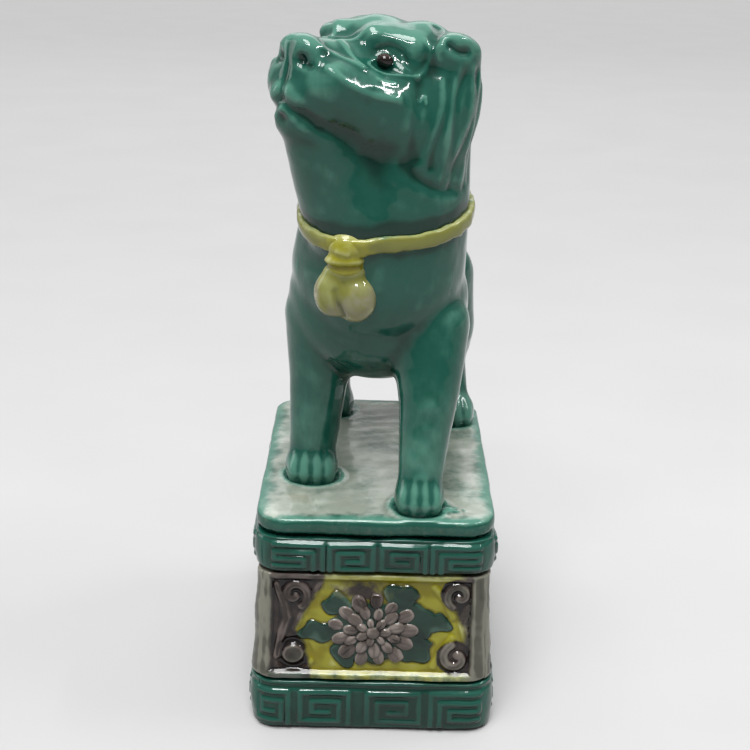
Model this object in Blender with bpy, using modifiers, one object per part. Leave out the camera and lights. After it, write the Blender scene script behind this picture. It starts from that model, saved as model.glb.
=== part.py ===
"""Standing dog on a rectangular plinth: a hollow glazed figure, as the clay pieces a potter luted together.

Frame: metres, +Z up, with the origin at the middle of the plinth's underside.
The dog faces -Y and its left is +X.
"""

import math

import bmesh
import bpy
from mathutils import Matrix, Vector

MM = 0.001

# Plinth.
FOOT_WIDTH = 64.0 * MM
FOOT_DEPTH = 89.5 * MM
FOOT_TOP = 15.0 * MM
WALL_WIDTH = 63.0 * MM  # at its lower edge
WALL_DEPTH = 88.5 * MM
WALL_TAPER = 0.95  # upper edge over lower edge
WALL_TOP = 44.6 * MM
FRET_WIDTH = 61.6 * MM
FRET_DEPTH = 87.0 * MM
FRET_TOP = 55.1 * MM
DECK_WIDTH = 60.6 * MM
DECK_DEPTH = 86.0 * MM
DECK_TOP = 60.0 * MM
CORNER = 7.5 * MM
CORNER_STEPS = 5
SLAB = 5.5 * MM  # thickness of the plinth's clay slabs
PANEL_RECESS = 1.5 * MM
PANEL_MARGIN = 9.0 * MM  # corner post left beside each recessed panel
PANEL_LEDGE = 2.0 * MM  # left above and below the panel
EDGE_ROUND = 0.9 * MM
DECK_STEPS = ((0.0, 1.0), (0.3, 0.3), (1.0, 0.0))  # of the rounded edge: shares inwards and down
VENT = 2.5 * MM  # radius of the hole under the belly that lets air out in the kiln
VENT_SIDES = 16
BELLY_VENT_AT = Vector((0.0, 12.0, 92.0)) * MM
FLOWER_RADIUS = 10.4 * MM
FLOWER_RELIEF = 1.9 * MM
PETALS = 12
PETAL_POINTS = 3
PETAL_DEPTH = 0.16  # how far the rosette's rim dips between petals, as a share of its radius
FLOWER_STEPS = ((1.0, 0.0), (0.95, 0.5), (0.45, 1.0))  # shares of its radius and of its relief

# Joints.
JOINT = 0.3 * MM  # gap between neighbouring pieces
SHELL = 4.5 * MM  # wall of the hollow figure
FAR = 0.3  # a length beyond the whole object
SLIVER = 20.0 * MM**2  # a loose scrap with less surface than this is dropped
WELD = MM / 500.0
SHARP = math.radians(35.0)

# Cell size and smoothing of the modelled clay.
CELL = 1.3 * MM
SMOOTHING = 12
BALL_STEPS = 3
BODY_FACES = 2200
HEAD_FACES = 1500
EAR_FACES = 300
TAIL_FACES = 340

# Body masses: middle above the deck, and half sizes, in millimetres.
BODY = {
    "chest": ((-0.6, -12.0, 48.5), (23.4, 19.0, 21.5)),
    "belly": ((1.0, 8.0, 49.0), (21.0, 25.0, 18.0)),
    "rump": ((2.2, 25.0, 49.0), (20.5, 15.0, 17.5)),
}

# Limbs: runs of points above the deck with a radius at each, in millimetres.
NECK = [((-0.6, -14.0, 58.0), 22.2), ((1.2, -15.5, 76.0), 20.4), ((2.2, -15.0, 92.0), 19.4)]
FORELEG_LEFT = [((12.5, -20.0, 44.0), 10.5), ((12.5, -28.0, 26.0), 7.4), ((11.0, -32.5, 8.0), 5.9)]
FORELEG_RIGHT = [((-14.0, -12.0, 44.0), 11.0), ((-15.5, -13.0, 28.0), 8.0), ((-17.0, -14.0, 8.0), 6.5)]
HINDLEG_LEFT = [
    ((13.0, 24.0, 44.0), 13.6),
    ((17.5, 25.0, 30.0), 9.8),
    ((20.3, 34.0, 17.0), 5.6),
    ((21.3, 29.5, 6.0), 5.6),
]
HINDLEG_RIGHT = [
    ((-9.0, 26.0, 44.0), 13.6),
    ((-12.0, 27.0, 30.0), 9.8),
    ((-13.5, 38.0, 17.0), 5.6),
    ((-13.5, 35.0, 6.0), 5.6),
]
PAWS = {
    "fore_left": ((10.8, -34.2, 4.8), (6.2, 6.6, 5.0)),
    "fore_right": ((-17.2, -16.0, 4.8), (7.2, 6.6, 5.0)),
    "hind_left": ((21.8, 26.5, 4.8), (6.8, 7.0, 5.2)),
    "hind_right": ((-13.5, 32.5, 4.8), (6.5, 7.0, 5.2)),
}
TOES = 4
TOE_RADIUS = 2.1
TOE_SPREAD = 0.75  # of the paw's half width, to the outer toes
TOE_DROP = 0.4  # of the paw's half height, below its middle
LIMB_STEP = 2.5  # spacing of the balls along a limb
LEG_TOP = 26.0 * MM  # joint plane of the legs, above the deck
LEG_SPLIT = 4.0 * MM  # where the fore half of the body ends and the hind half begins

# Head: masses in the head's own frame, with x to its left, -y to its nose and z up, in millimetres.
HEAD_AT = Vector((-2.2, -17.0, 161.5)) * MM
HEAD_TURN = math.radians(-45.0)
HEAD_LIFT = math.radians(-18.0)
HEAD_FACING = Matrix.Rotation(HEAD_TURN, 4, "Z") @ Matrix.Rotation(HEAD_LIFT, 4, "X")
HEAD_PLACE = Matrix.Translation(HEAD_AT) @ HEAD_FACING
HEAD_MIDDLE = {
    "skull": ((0.0, 3.0, 1.0), (19.0, 19.0, 16.0)),
    "forehead": ((0.0, -2.5, 9.0), (13.5, 10.5, 8.0)),
    "nose": ((0.0, -26.0, 3.0), (6.2, 4.8, 4.4)),
}
HEAD_RUNS = {
    "muzzle": [((0.0, -6.0, -1.0), 13.0), ((0.0, -22.0, -0.4), 7.8)],
    "jaw": [((0.0, 0.0, -12.0), 13.5), ((0.0, -20.0, -10.5), 7.4)],
    "throat": [((0.0, -18.5, -11.0), 7.6), ((0.5, -6.5, -21.0), 11.5), ((2.5, 2.0, -30.0), 14.0)],
    "cheek_left": [((8.0, -1.0, -5.0), 12.2), ((5.0, -20.5, -3.2), 7.6)],
    "cheek_right": [((-8.0, -1.0, -5.0), 12.2), ((-5.0, -20.5, -3.2), 7.6)],
    "brow_left": [((5.0, -12.0, 8.5), 3.8), ((12.0, -6.5, 9.0), 5.0)],
    "brow_right": [((-5.0, -12.0, 8.5), 3.8), ((-12.0, -6.5, 9.0), 5.0)],
}
EAR = {
    "flap": ((16.5, 7.0, -1.5), (6.5, 10.0, 17.5)),
    "fold": ((17.0, 5.0, 10.5), (5.5, 8.0, 6.0)),
}
EYE_AT = Vector((10.2, -11.6, 5.9)) * MM
EYE_RADIUS = 2.5 * MM

# Collar with its bell.
COLLAR_AT = Vector((0.6, -15.5, 133.5)) * MM
COLLAR_LEAN = math.radians(14.0)  # the band sits lower in front
COLLAR_HEIGHT = 4.2 * MM
COLLAR_THICK = 1.6 * MM
KNOT_RADIUS = 4.4 * MM
KNOT_AT = Vector((-8.8, -36.0, 126.8)) * MM
KNOT_SQUASH = (1.1, 0.8, 0.75)
BELL_AT = Vector((-8.8, -35.5, 115.6)) * MM
BELL_HALF = (7.2 * MM, 5.2 * MM, 6.6 * MM)
BELL_SHOULDER = (4.2 * MM, 2.6 * MM, 2.6 * MM)
SLIT_WIDTH = 0.9 * MM
SLIT_DEPTH = 5.0 * MM
SLIT_HEIGHT = 9.2 * MM

# Tail, curled up against the rump: its coil's middle, its turns and its radii.
TAIL_AT = Vector((2.0, 35.5, 122.0)) * MM
TAIL_TURNS = 1.1
TAIL_COIL = (9.5 * MM, 3.5 * MM)
TAIL_RADIUS = (4.6, 3.0)
TAIL_LEAN = 0.2  # how far the coil leans forward, over its height
TAIL_BALLS = 18

GREEN = ((0.045, 0.17, 0.11), 0.22)
PALE = ((0.36, 0.42, 0.37), 0.35)
YELLOW = ((0.26, 0.25, 0.04), 0.25)
OLIVE = ((0.22, 0.22, 0.10), 0.25)
AUBERGINE = ((0.09, 0.06, 0.05), 0.28)
PINK = ((0.20, 0.15, 0.14), 0.28)
BLACK = ((0.01, 0.008, 0.006), 0.12)


def clear_scene():
    """Remove whatever the scene starts with."""
    for item in list(bpy.data.objects):
        bpy.data.objects.remove(item, do_unlink=True)


def new_collection(name):
    """A collection linked to the scene."""
    made = bpy.data.collections.new(name)
    bpy.context.scene.collection.children.link(made)
    return made


def glaze(name, look):
    """A Principled glaze of one colour and roughness."""
    colour, rough = look
    made = bpy.data.materials.new(name)
    made.use_nodes = True
    shader = made.node_tree.nodes["Principled BSDF"]
    shader.inputs["Base Color"].default_value = (*colour, 1.0)
    shader.inputs["Roughness"].default_value = rough
    shader.inputs["Metallic"].default_value = 0.0
    return made


def temporary(mesh):
    """A passing object that carries a mesh."""
    item = bpy.data.objects.new("passing", mesh)
    bpy.context.scene.collection.objects.link(item)
    return item


def settle(item):
    """The mesh that an object's modifiers give, with the object removed."""
    graph = bpy.context.evaluated_depsgraph_get()
    mesh = bpy.data.meshes.new_from_object(item.evaluated_get(graph))
    bpy.data.objects.remove(item, do_unlink=True)
    return mesh


def combine(mesh, tool, operation):
    """Cut, join or intersect two closed meshes."""
    body = temporary(mesh.copy())
    other = temporary(tool)
    boolean = body.modifiers.new("combine", "BOOLEAN")
    boolean.operation = operation
    boolean.solver = "EXACT"
    boolean.object = other
    made = settle(body)
    bpy.data.objects.remove(other, do_unlink=True)
    return made


def block(middle, size, turn=None):
    """A rectangular block."""
    form = bmesh.new()
    place = Matrix.Translation(middle) @ (turn or Matrix.Identity(4)) @ Matrix.Diagonal((*size, 1.0))
    bmesh.ops.create_cube(form, size=1.0, matrix=place)
    return finish(form)


def finish(form):
    """Turn an edited form into a mesh."""
    mesh = bpy.data.meshes.new("form")
    form.to_mesh(mesh)
    form.free()
    return mesh


def half_space(point, normal):
    """A big block that fills the side of a plane its normal points to."""
    turn = Vector(normal).to_track_quat("Z", "Y").to_matrix().to_4x4()
    middle = Vector(point) + Vector(normal).normalized() * FAR / 2.0
    return block(middle, (FAR, FAR, FAR), turn)


def vent(middle):
    """A short upright cylinder that cuts a vent hole."""
    form = bmesh.new()
    place = Matrix.Translation(middle)
    bmesh.ops.create_cone(
        form, cap_ends=True, segments=VENT_SIDES, radius1=VENT, radius2=VENT, depth=4.0 * SLAB, matrix=place
    )
    return finish(form)


def grown(mesh, distance):
    """A copy with its surface moved outwards."""
    made = mesh.copy()
    moves = [vertex.normal * distance for vertex in mesh.vertices]
    for vertex, move in zip(made.vertices, moves):
        vertex.co += move
    return made


def without_slivers(mesh):
    """Drop scraps that a cut left loose, and weld doubled points."""
    form = bmesh.new()
    form.from_mesh(mesh)
    bmesh.ops.remove_doubles(form, verts=form.verts, dist=WELD)
    bmesh.ops.dissolve_degenerate(form, edges=form.edges, dist=WELD)
    form.faces.ensure_lookup_table()
    seen = set()
    for face in list(form.faces):
        if face in seen:
            continue
        island = {face}
        front = [face]
        while front:
            for edge in front.pop().edges:
                for near in edge.link_faces:
                    if near not in island:
                        island.add(near)
                        front.append(near)
        seen |= island
        if sum(item.calc_area() for item in island) < SLIVER:
            bmesh.ops.delete(form, geom=list(island), context="FACES")
            return without_slivers(finish(form))
    bmesh.ops.triangulate(form, faces=form.faces)
    bmesh.ops.recalc_face_normals(form, faces=form.faces)
    return finish(form)


def ellipsoid(form, middle, half, place=Matrix.Identity(4)):
    """Add one mass to a form."""
    move = place @ Matrix.Translation(Vector(middle)) @ Matrix.Diagonal((*half, 1.0))
    bmesh.ops.create_icosphere(form, subdivisions=BALL_STEPS, radius=1.0, matrix=move)


def blended(form, faces):
    """Press overlapping masses into one smooth skin with about this many faces."""
    item = temporary(finish(form))
    melt = item.modifiers.new("melt", "REMESH")
    melt.mode = "VOXEL"
    melt.voxel_size = CELL
    soften = item.modifiers.new("soften", "SMOOTH")
    soften.factor = 0.5
    soften.iterations = SMOOTHING
    mesh = settle(item)
    item = temporary(mesh)
    thin = item.modifiers.new("thin", "DECIMATE")
    thin.ratio = faces / (2.0 * len(mesh.polygons))
    return settle(item)


def along(points):
    """Evenly spaced middles and radii along a limb."""
    for (start, wide), (end, narrow) in zip(points, points[1:]):
        run = Vector(end) - Vector(start)
        steps = max(2, round(run.length / LIMB_STEP))
        for step in range(steps + 1):
            share = step / steps
            yield Vector(start) + run * share, wide + (narrow - wide) * share


def add_body_masses(form, shrink=0.0):
    """Chest, belly, rump and neck, each thinned by a wall."""
    scale = Matrix.Translation((0.0, 0.0, DECK_TOP)) @ Matrix.Scale(MM, 4)
    for middle, half in BODY.values():
        ellipsoid(form, middle, [length - shrink for length in half], scale)
    for middle, radius in along(NECK):
        ellipsoid(form, middle, [radius - shrink] * 3, scale)


def add_leg_masses(form):
    """Four legs with paws and toes."""
    scale = Matrix.Translation((0.0, 0.0, DECK_TOP)) @ Matrix.Scale(MM, 4)
    for limb in (FORELEG_LEFT, FORELEG_RIGHT, HINDLEG_LEFT, HINDLEG_RIGHT):
        for middle, radius in along(limb):
            ellipsoid(form, middle, [radius] * 3, scale)
    for middle, half in PAWS.values():
        ellipsoid(form, middle, half, scale)
        for toe in range(TOES):
            across = half[0] * TOE_SPREAD * (2.0 * toe / (TOES - 1) - 1.0)
            ahead = half[1] * math.sqrt(1.0 - (across / half[0]) ** 2)
            spot = (middle[0] + across, middle[1] - ahead, middle[2] - half[2] * TOE_DROP)
            ellipsoid(form, spot, [TOE_RADIUS] * 3, scale)


def add_head_masses(form, shrink=0.0):
    """Skull, muzzle, jaw, cheeks and brows, each thinned by a wall."""
    place = HEAD_PLACE @ Matrix.Scale(MM, 4)
    for middle, half in HEAD_MIDDLE.values():
        if min(half) > shrink:
            ellipsoid(form, middle, [length - shrink for length in half], place)
    for run in HEAD_RUNS.values():
        for middle, radius in along(run):
            if radius > shrink:
                ellipsoid(form, middle, [radius - shrink] * 3, place)


def figure_skin():
    """The whole dog without ears and tail."""
    form = bmesh.new()
    add_body_masses(form)
    add_leg_masses(form)
    add_head_masses(form)
    return blended(form, BODY_FACES + HEAD_FACES)


def figure_hollow():
    """The space inside the body, the neck and the head."""
    form = bmesh.new()
    wall = SHELL / MM
    add_body_masses(form, wall)
    add_head_masses(form, wall)
    return blended(form, BODY_FACES // 4)


def collar_normal():
    """Direction of the collar's axis, tipped so that its front edge is low."""
    return Vector((0.0, -math.sin(COLLAR_LEAN), math.cos(COLLAR_LEAN)))


def leg_pieces(skin):
    """Four legs, cut level under the belly and flat above the deck."""
    top = DECK_TOP + LEG_TOP - JOINT / 2.0
    low = DECK_TOP + JOINT
    corners = {
        "foreleg_left": (1.0, -1.0),
        "foreleg_right": (-1.0, -1.0),
        "hindleg_left": (1.0, 1.0),
        "hindleg_right": (-1.0, 1.0),
    }
    made = {}
    for name, (across, along_depth) in corners.items():
        size = (FAR, FAR, top - low)
        middle = Vector((across * FAR / 2.0, LEG_SPLIT + along_depth * FAR / 2.0, (top + low) / 2.0))
        made[name] = combine(skin, block(middle, size), "INTERSECT")
    return made


def torso_pieces(skin, hollow):
    """The body's two moulded halves, joined along the spine, with a vent under the belly."""
    low = DECK_TOP + LEG_TOP + JOINT / 2.0
    trunk = combine(skin, half_space((0.0, 0.0, low), (0.0, 0.0, 1.0)), "INTERSECT")
    under_collar = COLLAR_AT - collar_normal() * JOINT / 2.0
    trunk = combine(trunk, half_space(under_collar, -collar_normal()), "INTERSECT")
    trunk = combine(trunk, hollow, "DIFFERENCE")
    trunk = combine(trunk, vent(BELLY_VENT_AT), "DIFFERENCE")
    made = {}
    for name, side in (("torso_left", 1.0), ("torso_right", -1.0)):
        plane = (side * JOINT / 2.0, 0.0, 0.0)
        made[name] = combine(trunk, half_space(plane, (side, 0.0, 0.0)), "INTERSECT")
    return made


def head_piece(skin, hollow):
    """The head's mould, open at the neck."""
    over_collar = COLLAR_AT + collar_normal() * JOINT / 2.0
    head = combine(skin, half_space(over_collar, collar_normal()), "INTERSECT")
    return combine(head, hollow, "DIFFERENCE")


def ear_piece(skin, side):
    """A hanging ear, laid against the head."""
    form = bmesh.new()
    place = HEAD_PLACE @ Matrix.Scale(MM, 4)
    for middle, half in EAR.values():
        ellipsoid(form, (side * middle[0], middle[1], middle[2]), half, place)
    return combine(blended(form, EAR_FACES), grown(skin, JOINT), "DIFFERENCE")


def eye_piece(skin, side):
    """A pellet pressed under the brow."""
    form = bmesh.new()
    spot = (side * EYE_AT.x, EYE_AT.y, EYE_AT.z)
    ellipsoid(form, spot, [EYE_RADIUS] * 3, HEAD_PLACE)
    return combine(finish(form), grown(skin, JOINT), "DIFFERENCE")


def collar_piece(skin):
    """A flat band round the neck."""
    turn = collar_normal().to_track_quat("Z", "Y").to_matrix().to_4x4()
    slice_block = block(COLLAR_AT, (FAR, FAR, COLLAR_HEIGHT), turn)
    band = combine(grown(skin, JOINT + COLLAR_THICK), slice_block, "INTERSECT")
    return combine(band, grown(skin, JOINT), "DIFFERENCE")


def knot_piece(skin, collar):
    """The tie that the bell hangs from."""
    form = bmesh.new()
    ellipsoid(form, KNOT_AT, [KNOT_RADIUS * squash for squash in KNOT_SQUASH])
    knot = combine(finish(form), grown(collar, JOINT), "DIFFERENCE")
    return combine(knot, grown(skin, JOINT), "DIFFERENCE")


def bell_piece(skin, knot):
    """A round bell with a slit underneath, laid on the chest."""
    form = bmesh.new()
    ellipsoid(form, BELL_AT, BELL_HALF)
    neck = BELL_AT + Vector((0.0, 0.0, BELL_HALF[2]))
    ellipsoid(form, neck, BELL_SHOULDER)
    bell = blended(form, EAR_FACES)
    slit_middle = BELL_AT - Vector((0.0, BELL_HALF[1], BELL_HALF[2] / 2.0))
    slit = block(slit_middle, (SLIT_WIDTH, SLIT_DEPTH, SLIT_HEIGHT))
    bell = combine(bell, slit, "DIFFERENCE")
    bell = combine(bell, grown(knot, JOINT), "DIFFERENCE")
    return combine(bell, grown(skin, JOINT), "DIFFERENCE")


def tail_piece(skin):
    """A tail coiled up on the rump."""
    form = bmesh.new()
    for step in range(TAIL_BALLS):
        share = step / (TAIL_BALLS - 1)
        angle = math.tau * TAIL_TURNS * share - math.pi / 2.0
        coil = TAIL_COIL[0] + (TAIL_COIL[1] - TAIL_COIL[0]) * share
        rise = math.sin(angle) * coil
        spot = TAIL_AT + Vector((math.cos(angle) * coil, -TAIL_LEAN * rise, rise))
        radius = TAIL_RADIUS[0] + (TAIL_RADIUS[1] - TAIL_RADIUS[0]) * share
        ellipsoid(form, spot, [radius * MM] * 3)
    return combine(blended(form, TAIL_FACES), grown(skin, JOINT), "DIFFERENCE")


def rounded_outline(form, width, depth, corner, height):
    """A closed loop round a rectangle with round corners."""
    points = []
    centres = ((1.0, 1.0, 0.0), (-1.0, 1.0, 0.5), (-1.0, -1.0, 1.0), (1.0, -1.0, 1.5))
    for side_x, side_y, start in centres:
        for step in range(CORNER_STEPS + 1):
            angle = math.pi * (start + 0.5 * step / CORNER_STEPS)
            across = side_x * (width / 2.0 - corner) + corner * math.cos(angle)
            back = side_y * (depth / 2.0 - corner) + corner * math.sin(angle)
            points.append(form.verts.new((across, back, height)))
    return points


def loft(form, rings):
    """Skin a run of loops and close it end to end."""
    for lower, upper in zip(rings, rings[1:]):
        count = len(lower)
        for index in range(count):
            after = (index + 1) % count
            form.faces.new((lower[index], lower[after], upper[after], upper[index]))


def slab_ring(low, high, width, depth, taper=1.0):
    """A hollow rounded frame of clay slabs, leaning in by its taper."""
    form = bmesh.new()
    inner = (width - 2.0 * SLAB, depth - 2.0 * SLAB, CORNER - SLAB)
    lean = (1.0 - taper) * width
    sizes = (
        (width, depth, CORNER, low),
        (width - lean, depth - lean, CORNER, high),
        (inner[0] - lean, inner[1] - lean, inner[2], high),
        (inner[0], inner[1], inner[2], low),
    )
    rings = [rounded_outline(form, *size) for size in sizes]
    loft(form, [*rings, rings[0]])
    bmesh.ops.recalc_face_normals(form, faces=form.faces)
    return finish(form)


def mitre_normal(way, corner):
    """Level direction square to a corner's mitre, pointing to the side that a slab is on."""
    across = way[0] if way[0] else -corner[0]
    back = way[1] if way[1] else -corner[1]
    return Vector((across, back, 0.0)).normalized()


def four_sides(prefix, ring, width, depth):
    """Cut a frame into four slabs along its corner mitres."""
    made = {}
    edge = (width / 2.0 - CORNER, depth / 2.0 - CORNER)
    ways = {"front": (0.0, -1.0), "back": (0.0, 1.0), "left": (1.0, 0.0), "right": (-1.0, 0.0)}
    for name, way in ways.items():
        side = ring
        for corner in ((1.0, 1.0), (-1.0, 1.0), (-1.0, -1.0), (1.0, -1.0)):
            if corner[0] * way[0] + corner[1] * way[1] < 0.0:
                continue
            middle = Vector((corner[0] * edge[0], corner[1] * edge[1], 0.0))
            slope = mitre_normal(way, corner)
            side = combine(side, half_space(middle + slope * JOINT / 2.0, slope), "INTERSECT")
        made[f"{prefix}_{name}"] = side
    return made


def plinth_frames():
    """Lower band, wall and upper band, each of four mitred slabs."""
    made = {}
    foot = slab_ring(0.0, FOOT_TOP - JOINT, FOOT_WIDTH, FOOT_DEPTH)
    made.update(four_sides("lower_band", foot, FOOT_WIDTH, FOOT_DEPTH))
    wall = slab_ring(FOOT_TOP, WALL_TOP - JOINT, WALL_WIDTH, WALL_DEPTH, WALL_TAPER)
    made.update(four_sides("wall", recessed(wall), WALL_WIDTH, WALL_DEPTH))
    fret = slab_ring(WALL_TOP, FRET_TOP - JOINT, FRET_WIDTH, FRET_DEPTH)
    made.update(four_sides("upper_band", fret, FRET_WIDTH, FRET_DEPTH))
    return made


def panel_planes():
    """For each side: its outward way, the middle of its panel, its lean and its length."""
    lean = (1.0 - WALL_TAPER) * WALL_WIDTH / 2.0
    height = WALL_TOP - FOOT_TOP
    tilt = math.atan2(lean, height)
    middle_height = (WALL_TOP + FOOT_TOP) / 2.0
    for name, angle, reach, length in (
        ("front", 0.0, WALL_DEPTH, WALL_WIDTH),
        ("left", math.pi / 2.0, WALL_WIDTH, WALL_DEPTH),
        ("back", math.pi, WALL_DEPTH, WALL_WIDTH),
        ("right", -math.pi / 2.0, WALL_WIDTH, WALL_DEPTH),
    ):
        face = Matrix.Translation((0.0, lean / 2.0 - reach / 2.0, middle_height))
        yield name, Matrix.Rotation(angle, 4, "Z") @ face @ Matrix.Rotation(-tilt, 4, "X"), length


def recessed(wall):
    """Sink a panel into each side of the wall."""
    height = WALL_TOP - FOOT_TOP - 2.0 * PANEL_LEDGE
    for _name, place, length in panel_planes():
        form = bmesh.new()
        size = Matrix.Diagonal((length - 2.0 * PANEL_MARGIN, 2.0 * PANEL_RECESS, height, 1.0))
        bmesh.ops.create_cube(form, size=1.0, matrix=place @ size)
        wall = combine(wall, finish(form), "DIFFERENCE")
    return wall


def flower_piece(place):
    """A sprigged rosette, domed, with a scalloped rim."""
    form = bmesh.new()
    back = Matrix.Translation((0.0, PANEL_RECESS - JOINT, 0.0))
    flat = place @ back @ Matrix.Rotation(math.pi / 2.0, 4, "X")
    points = PETAL_POINTS * PETALS
    rings = []
    for share, rise in FLOWER_STEPS:
        ring = []
        for index in range(points):
            angle = math.tau * index / points
            rim = 1.0 - PETAL_DEPTH * share * (0.5 - 0.5 * math.cos(PETALS * angle))
            spot = Vector((math.cos(angle), math.sin(angle), 0.0)) * FLOWER_RADIUS * share * rim
            spot.z = rise * FLOWER_RELIEF
            ring.append(form.verts.new(flat @ spot))
        rings.append(ring)
    loft(form, rings)
    form.faces.new(rings[0])
    form.faces.new(rings[-1])
    bmesh.ops.recalc_face_normals(form, faces=form.faces)
    return finish(form)


def deck_piece():
    """The slab the dog stands on, with rolled edges."""
    form = bmesh.new()
    rings = [rounded_outline(form, DECK_WIDTH, DECK_DEPTH, CORNER, FRET_TOP)]
    for inwards, down in DECK_STEPS:
        inset = inwards * EDGE_ROUND
        size = (DECK_WIDTH - 2.0 * inset, DECK_DEPTH - 2.0 * inset, CORNER - inset)
        rings.append(rounded_outline(form, *size, DECK_TOP - down * EDGE_ROUND))
    loft(form, rings)
    form.faces.new(rings[0])
    form.faces.new(rings[-1])
    bmesh.ops.recalc_face_normals(form, faces=form.faces)
    return finish(form)


def place_part(name, mesh, look, parts):
    """Add a finished piece with its own glaze."""
    mesh = without_slivers(mesh)
    mesh.name = name
    item = bpy.data.objects.new(name, mesh)
    parts.objects.link(item)
    mesh.materials.clear()
    mesh.materials.append(glaze(f"{name}_glaze", look))
    mesh.shade_smooth()
    mesh.set_sharp_from_angle(angle=SHARP)
    return item


def main():
    """Build every piece of the statue."""
    clear_scene()
    parts = new_collection("dog_statue")
    skin = figure_skin()
    hollow = figure_hollow()
    for name, mesh in torso_pieces(skin, hollow).items():
        place_part(name, mesh, GREEN, parts)
    place_part("head", head_piece(skin, hollow), GREEN, parts)
    for name, mesh in leg_pieces(skin).items():
        place_part(name, mesh, GREEN, parts)
    for name, side in (("left", 1.0), ("right", -1.0)):
        place_part(f"ear_{name}", ear_piece(skin, side), GREEN, parts)
        place_part(f"eye_{name}", eye_piece(skin, side), BLACK, parts)
    place_part("tail", tail_piece(skin), GREEN, parts)
    collar = without_slivers(collar_piece(skin))
    place_part("collar", collar, OLIVE, parts)
    knot = without_slivers(knot_piece(skin, collar))
    place_part("bell_knot", knot, YELLOW, parts)
    place_part("bell", bell_piece(skin, knot), OLIVE, parts)
    place_part("deck", deck_piece(), PALE, parts)
    looks = {"lower_band": GREEN, "wall": AUBERGINE, "upper_band": GREEN}
    for name, mesh in plinth_frames().items():
        place_part(name, mesh, looks[name.rsplit("_", 1)[0]], parts)
    for name, place, _length in panel_planes():
        place_part(f"flower_{name}", flower_piece(place), PINK, parts)


main()
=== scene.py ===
"""Glazed guardian dog on a fretted plinth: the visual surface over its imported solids."""

from __future__ import annotations

import logging
import math
from dataclasses import dataclass, field
from enum import Enum
from typing import Sequence

import bmesh
import bpy
import numpy as np
from mathutils import Matrix, Vector
from mathutils.bvhtree import BVHTree


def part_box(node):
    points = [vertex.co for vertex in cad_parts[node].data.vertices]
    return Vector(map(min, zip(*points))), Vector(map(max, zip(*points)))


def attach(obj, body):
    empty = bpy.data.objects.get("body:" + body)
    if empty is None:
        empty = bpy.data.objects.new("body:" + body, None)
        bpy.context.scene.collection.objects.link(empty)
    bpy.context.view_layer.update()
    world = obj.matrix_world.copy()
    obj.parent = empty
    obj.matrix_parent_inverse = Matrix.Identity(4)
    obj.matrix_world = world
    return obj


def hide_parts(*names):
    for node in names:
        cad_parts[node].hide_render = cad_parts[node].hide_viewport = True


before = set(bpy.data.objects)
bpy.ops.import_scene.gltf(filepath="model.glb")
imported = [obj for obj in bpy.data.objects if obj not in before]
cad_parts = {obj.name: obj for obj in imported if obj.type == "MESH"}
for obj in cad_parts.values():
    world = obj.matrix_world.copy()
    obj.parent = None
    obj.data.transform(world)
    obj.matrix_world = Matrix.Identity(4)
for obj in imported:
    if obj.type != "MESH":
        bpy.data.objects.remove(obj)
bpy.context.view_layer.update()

MM = 0.001
IN_MM = Matrix.Scale(MM, 4)
UP = Vector((0.0, 0.0, 1.0))
BOTH_SIDES = (1.0, -1.0)
SMOOTH_UP_TO = math.radians(50.0)
GLAZE_IOR = 1.44
WALL_BATTER = 1.58
WALL_RISE = 29.3
FAR = 1e9
LIMB_STEP = 2.4
FINE_HOLLOW = 0.10 * MM
BROAD_HOLLOW = 0.45 * MM
COIL_STEPS = 30
COIL_CLOSES = 0.78

Point = tuple[float, float, float]
Pair = tuple[float, float]
Mass = tuple[Point, Point]
Run = tuple[tuple[Point, float], ...]
Array = np.ndarray
Socket = bpy.types.NodeSocket
Material = bpy.types.Material
Mesh = bpy.types.Mesh
Form = bmesh.types.BMesh

LOG = logging.getLogger("statue")


def low(node: str) -> Vector:
    """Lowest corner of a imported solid."""
    return Vector(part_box(node)[0])


def high(node: str) -> Vector:
    """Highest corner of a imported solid."""
    return Vector(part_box(node)[1])


DECK_TOP = high("deck").z


class Side(Enum):
    """A side of the plinth, with the turn that brings the front round to it."""

    FRONT = ("front", 0.0)
    LEFT = ("left", 90.0)
    BACK = ("back", 180.0)
    RIGHT = ("right", -90.0)

    @property
    def label(self) -> str:
        """Name used in node names."""
        return self.value[0]

    @property
    def turn(self) -> Matrix:
        """Rotation about the upright axis."""
        return Matrix.Rotation(math.radians(self.value[1]), 4, "Z")


# Glazes


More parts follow.
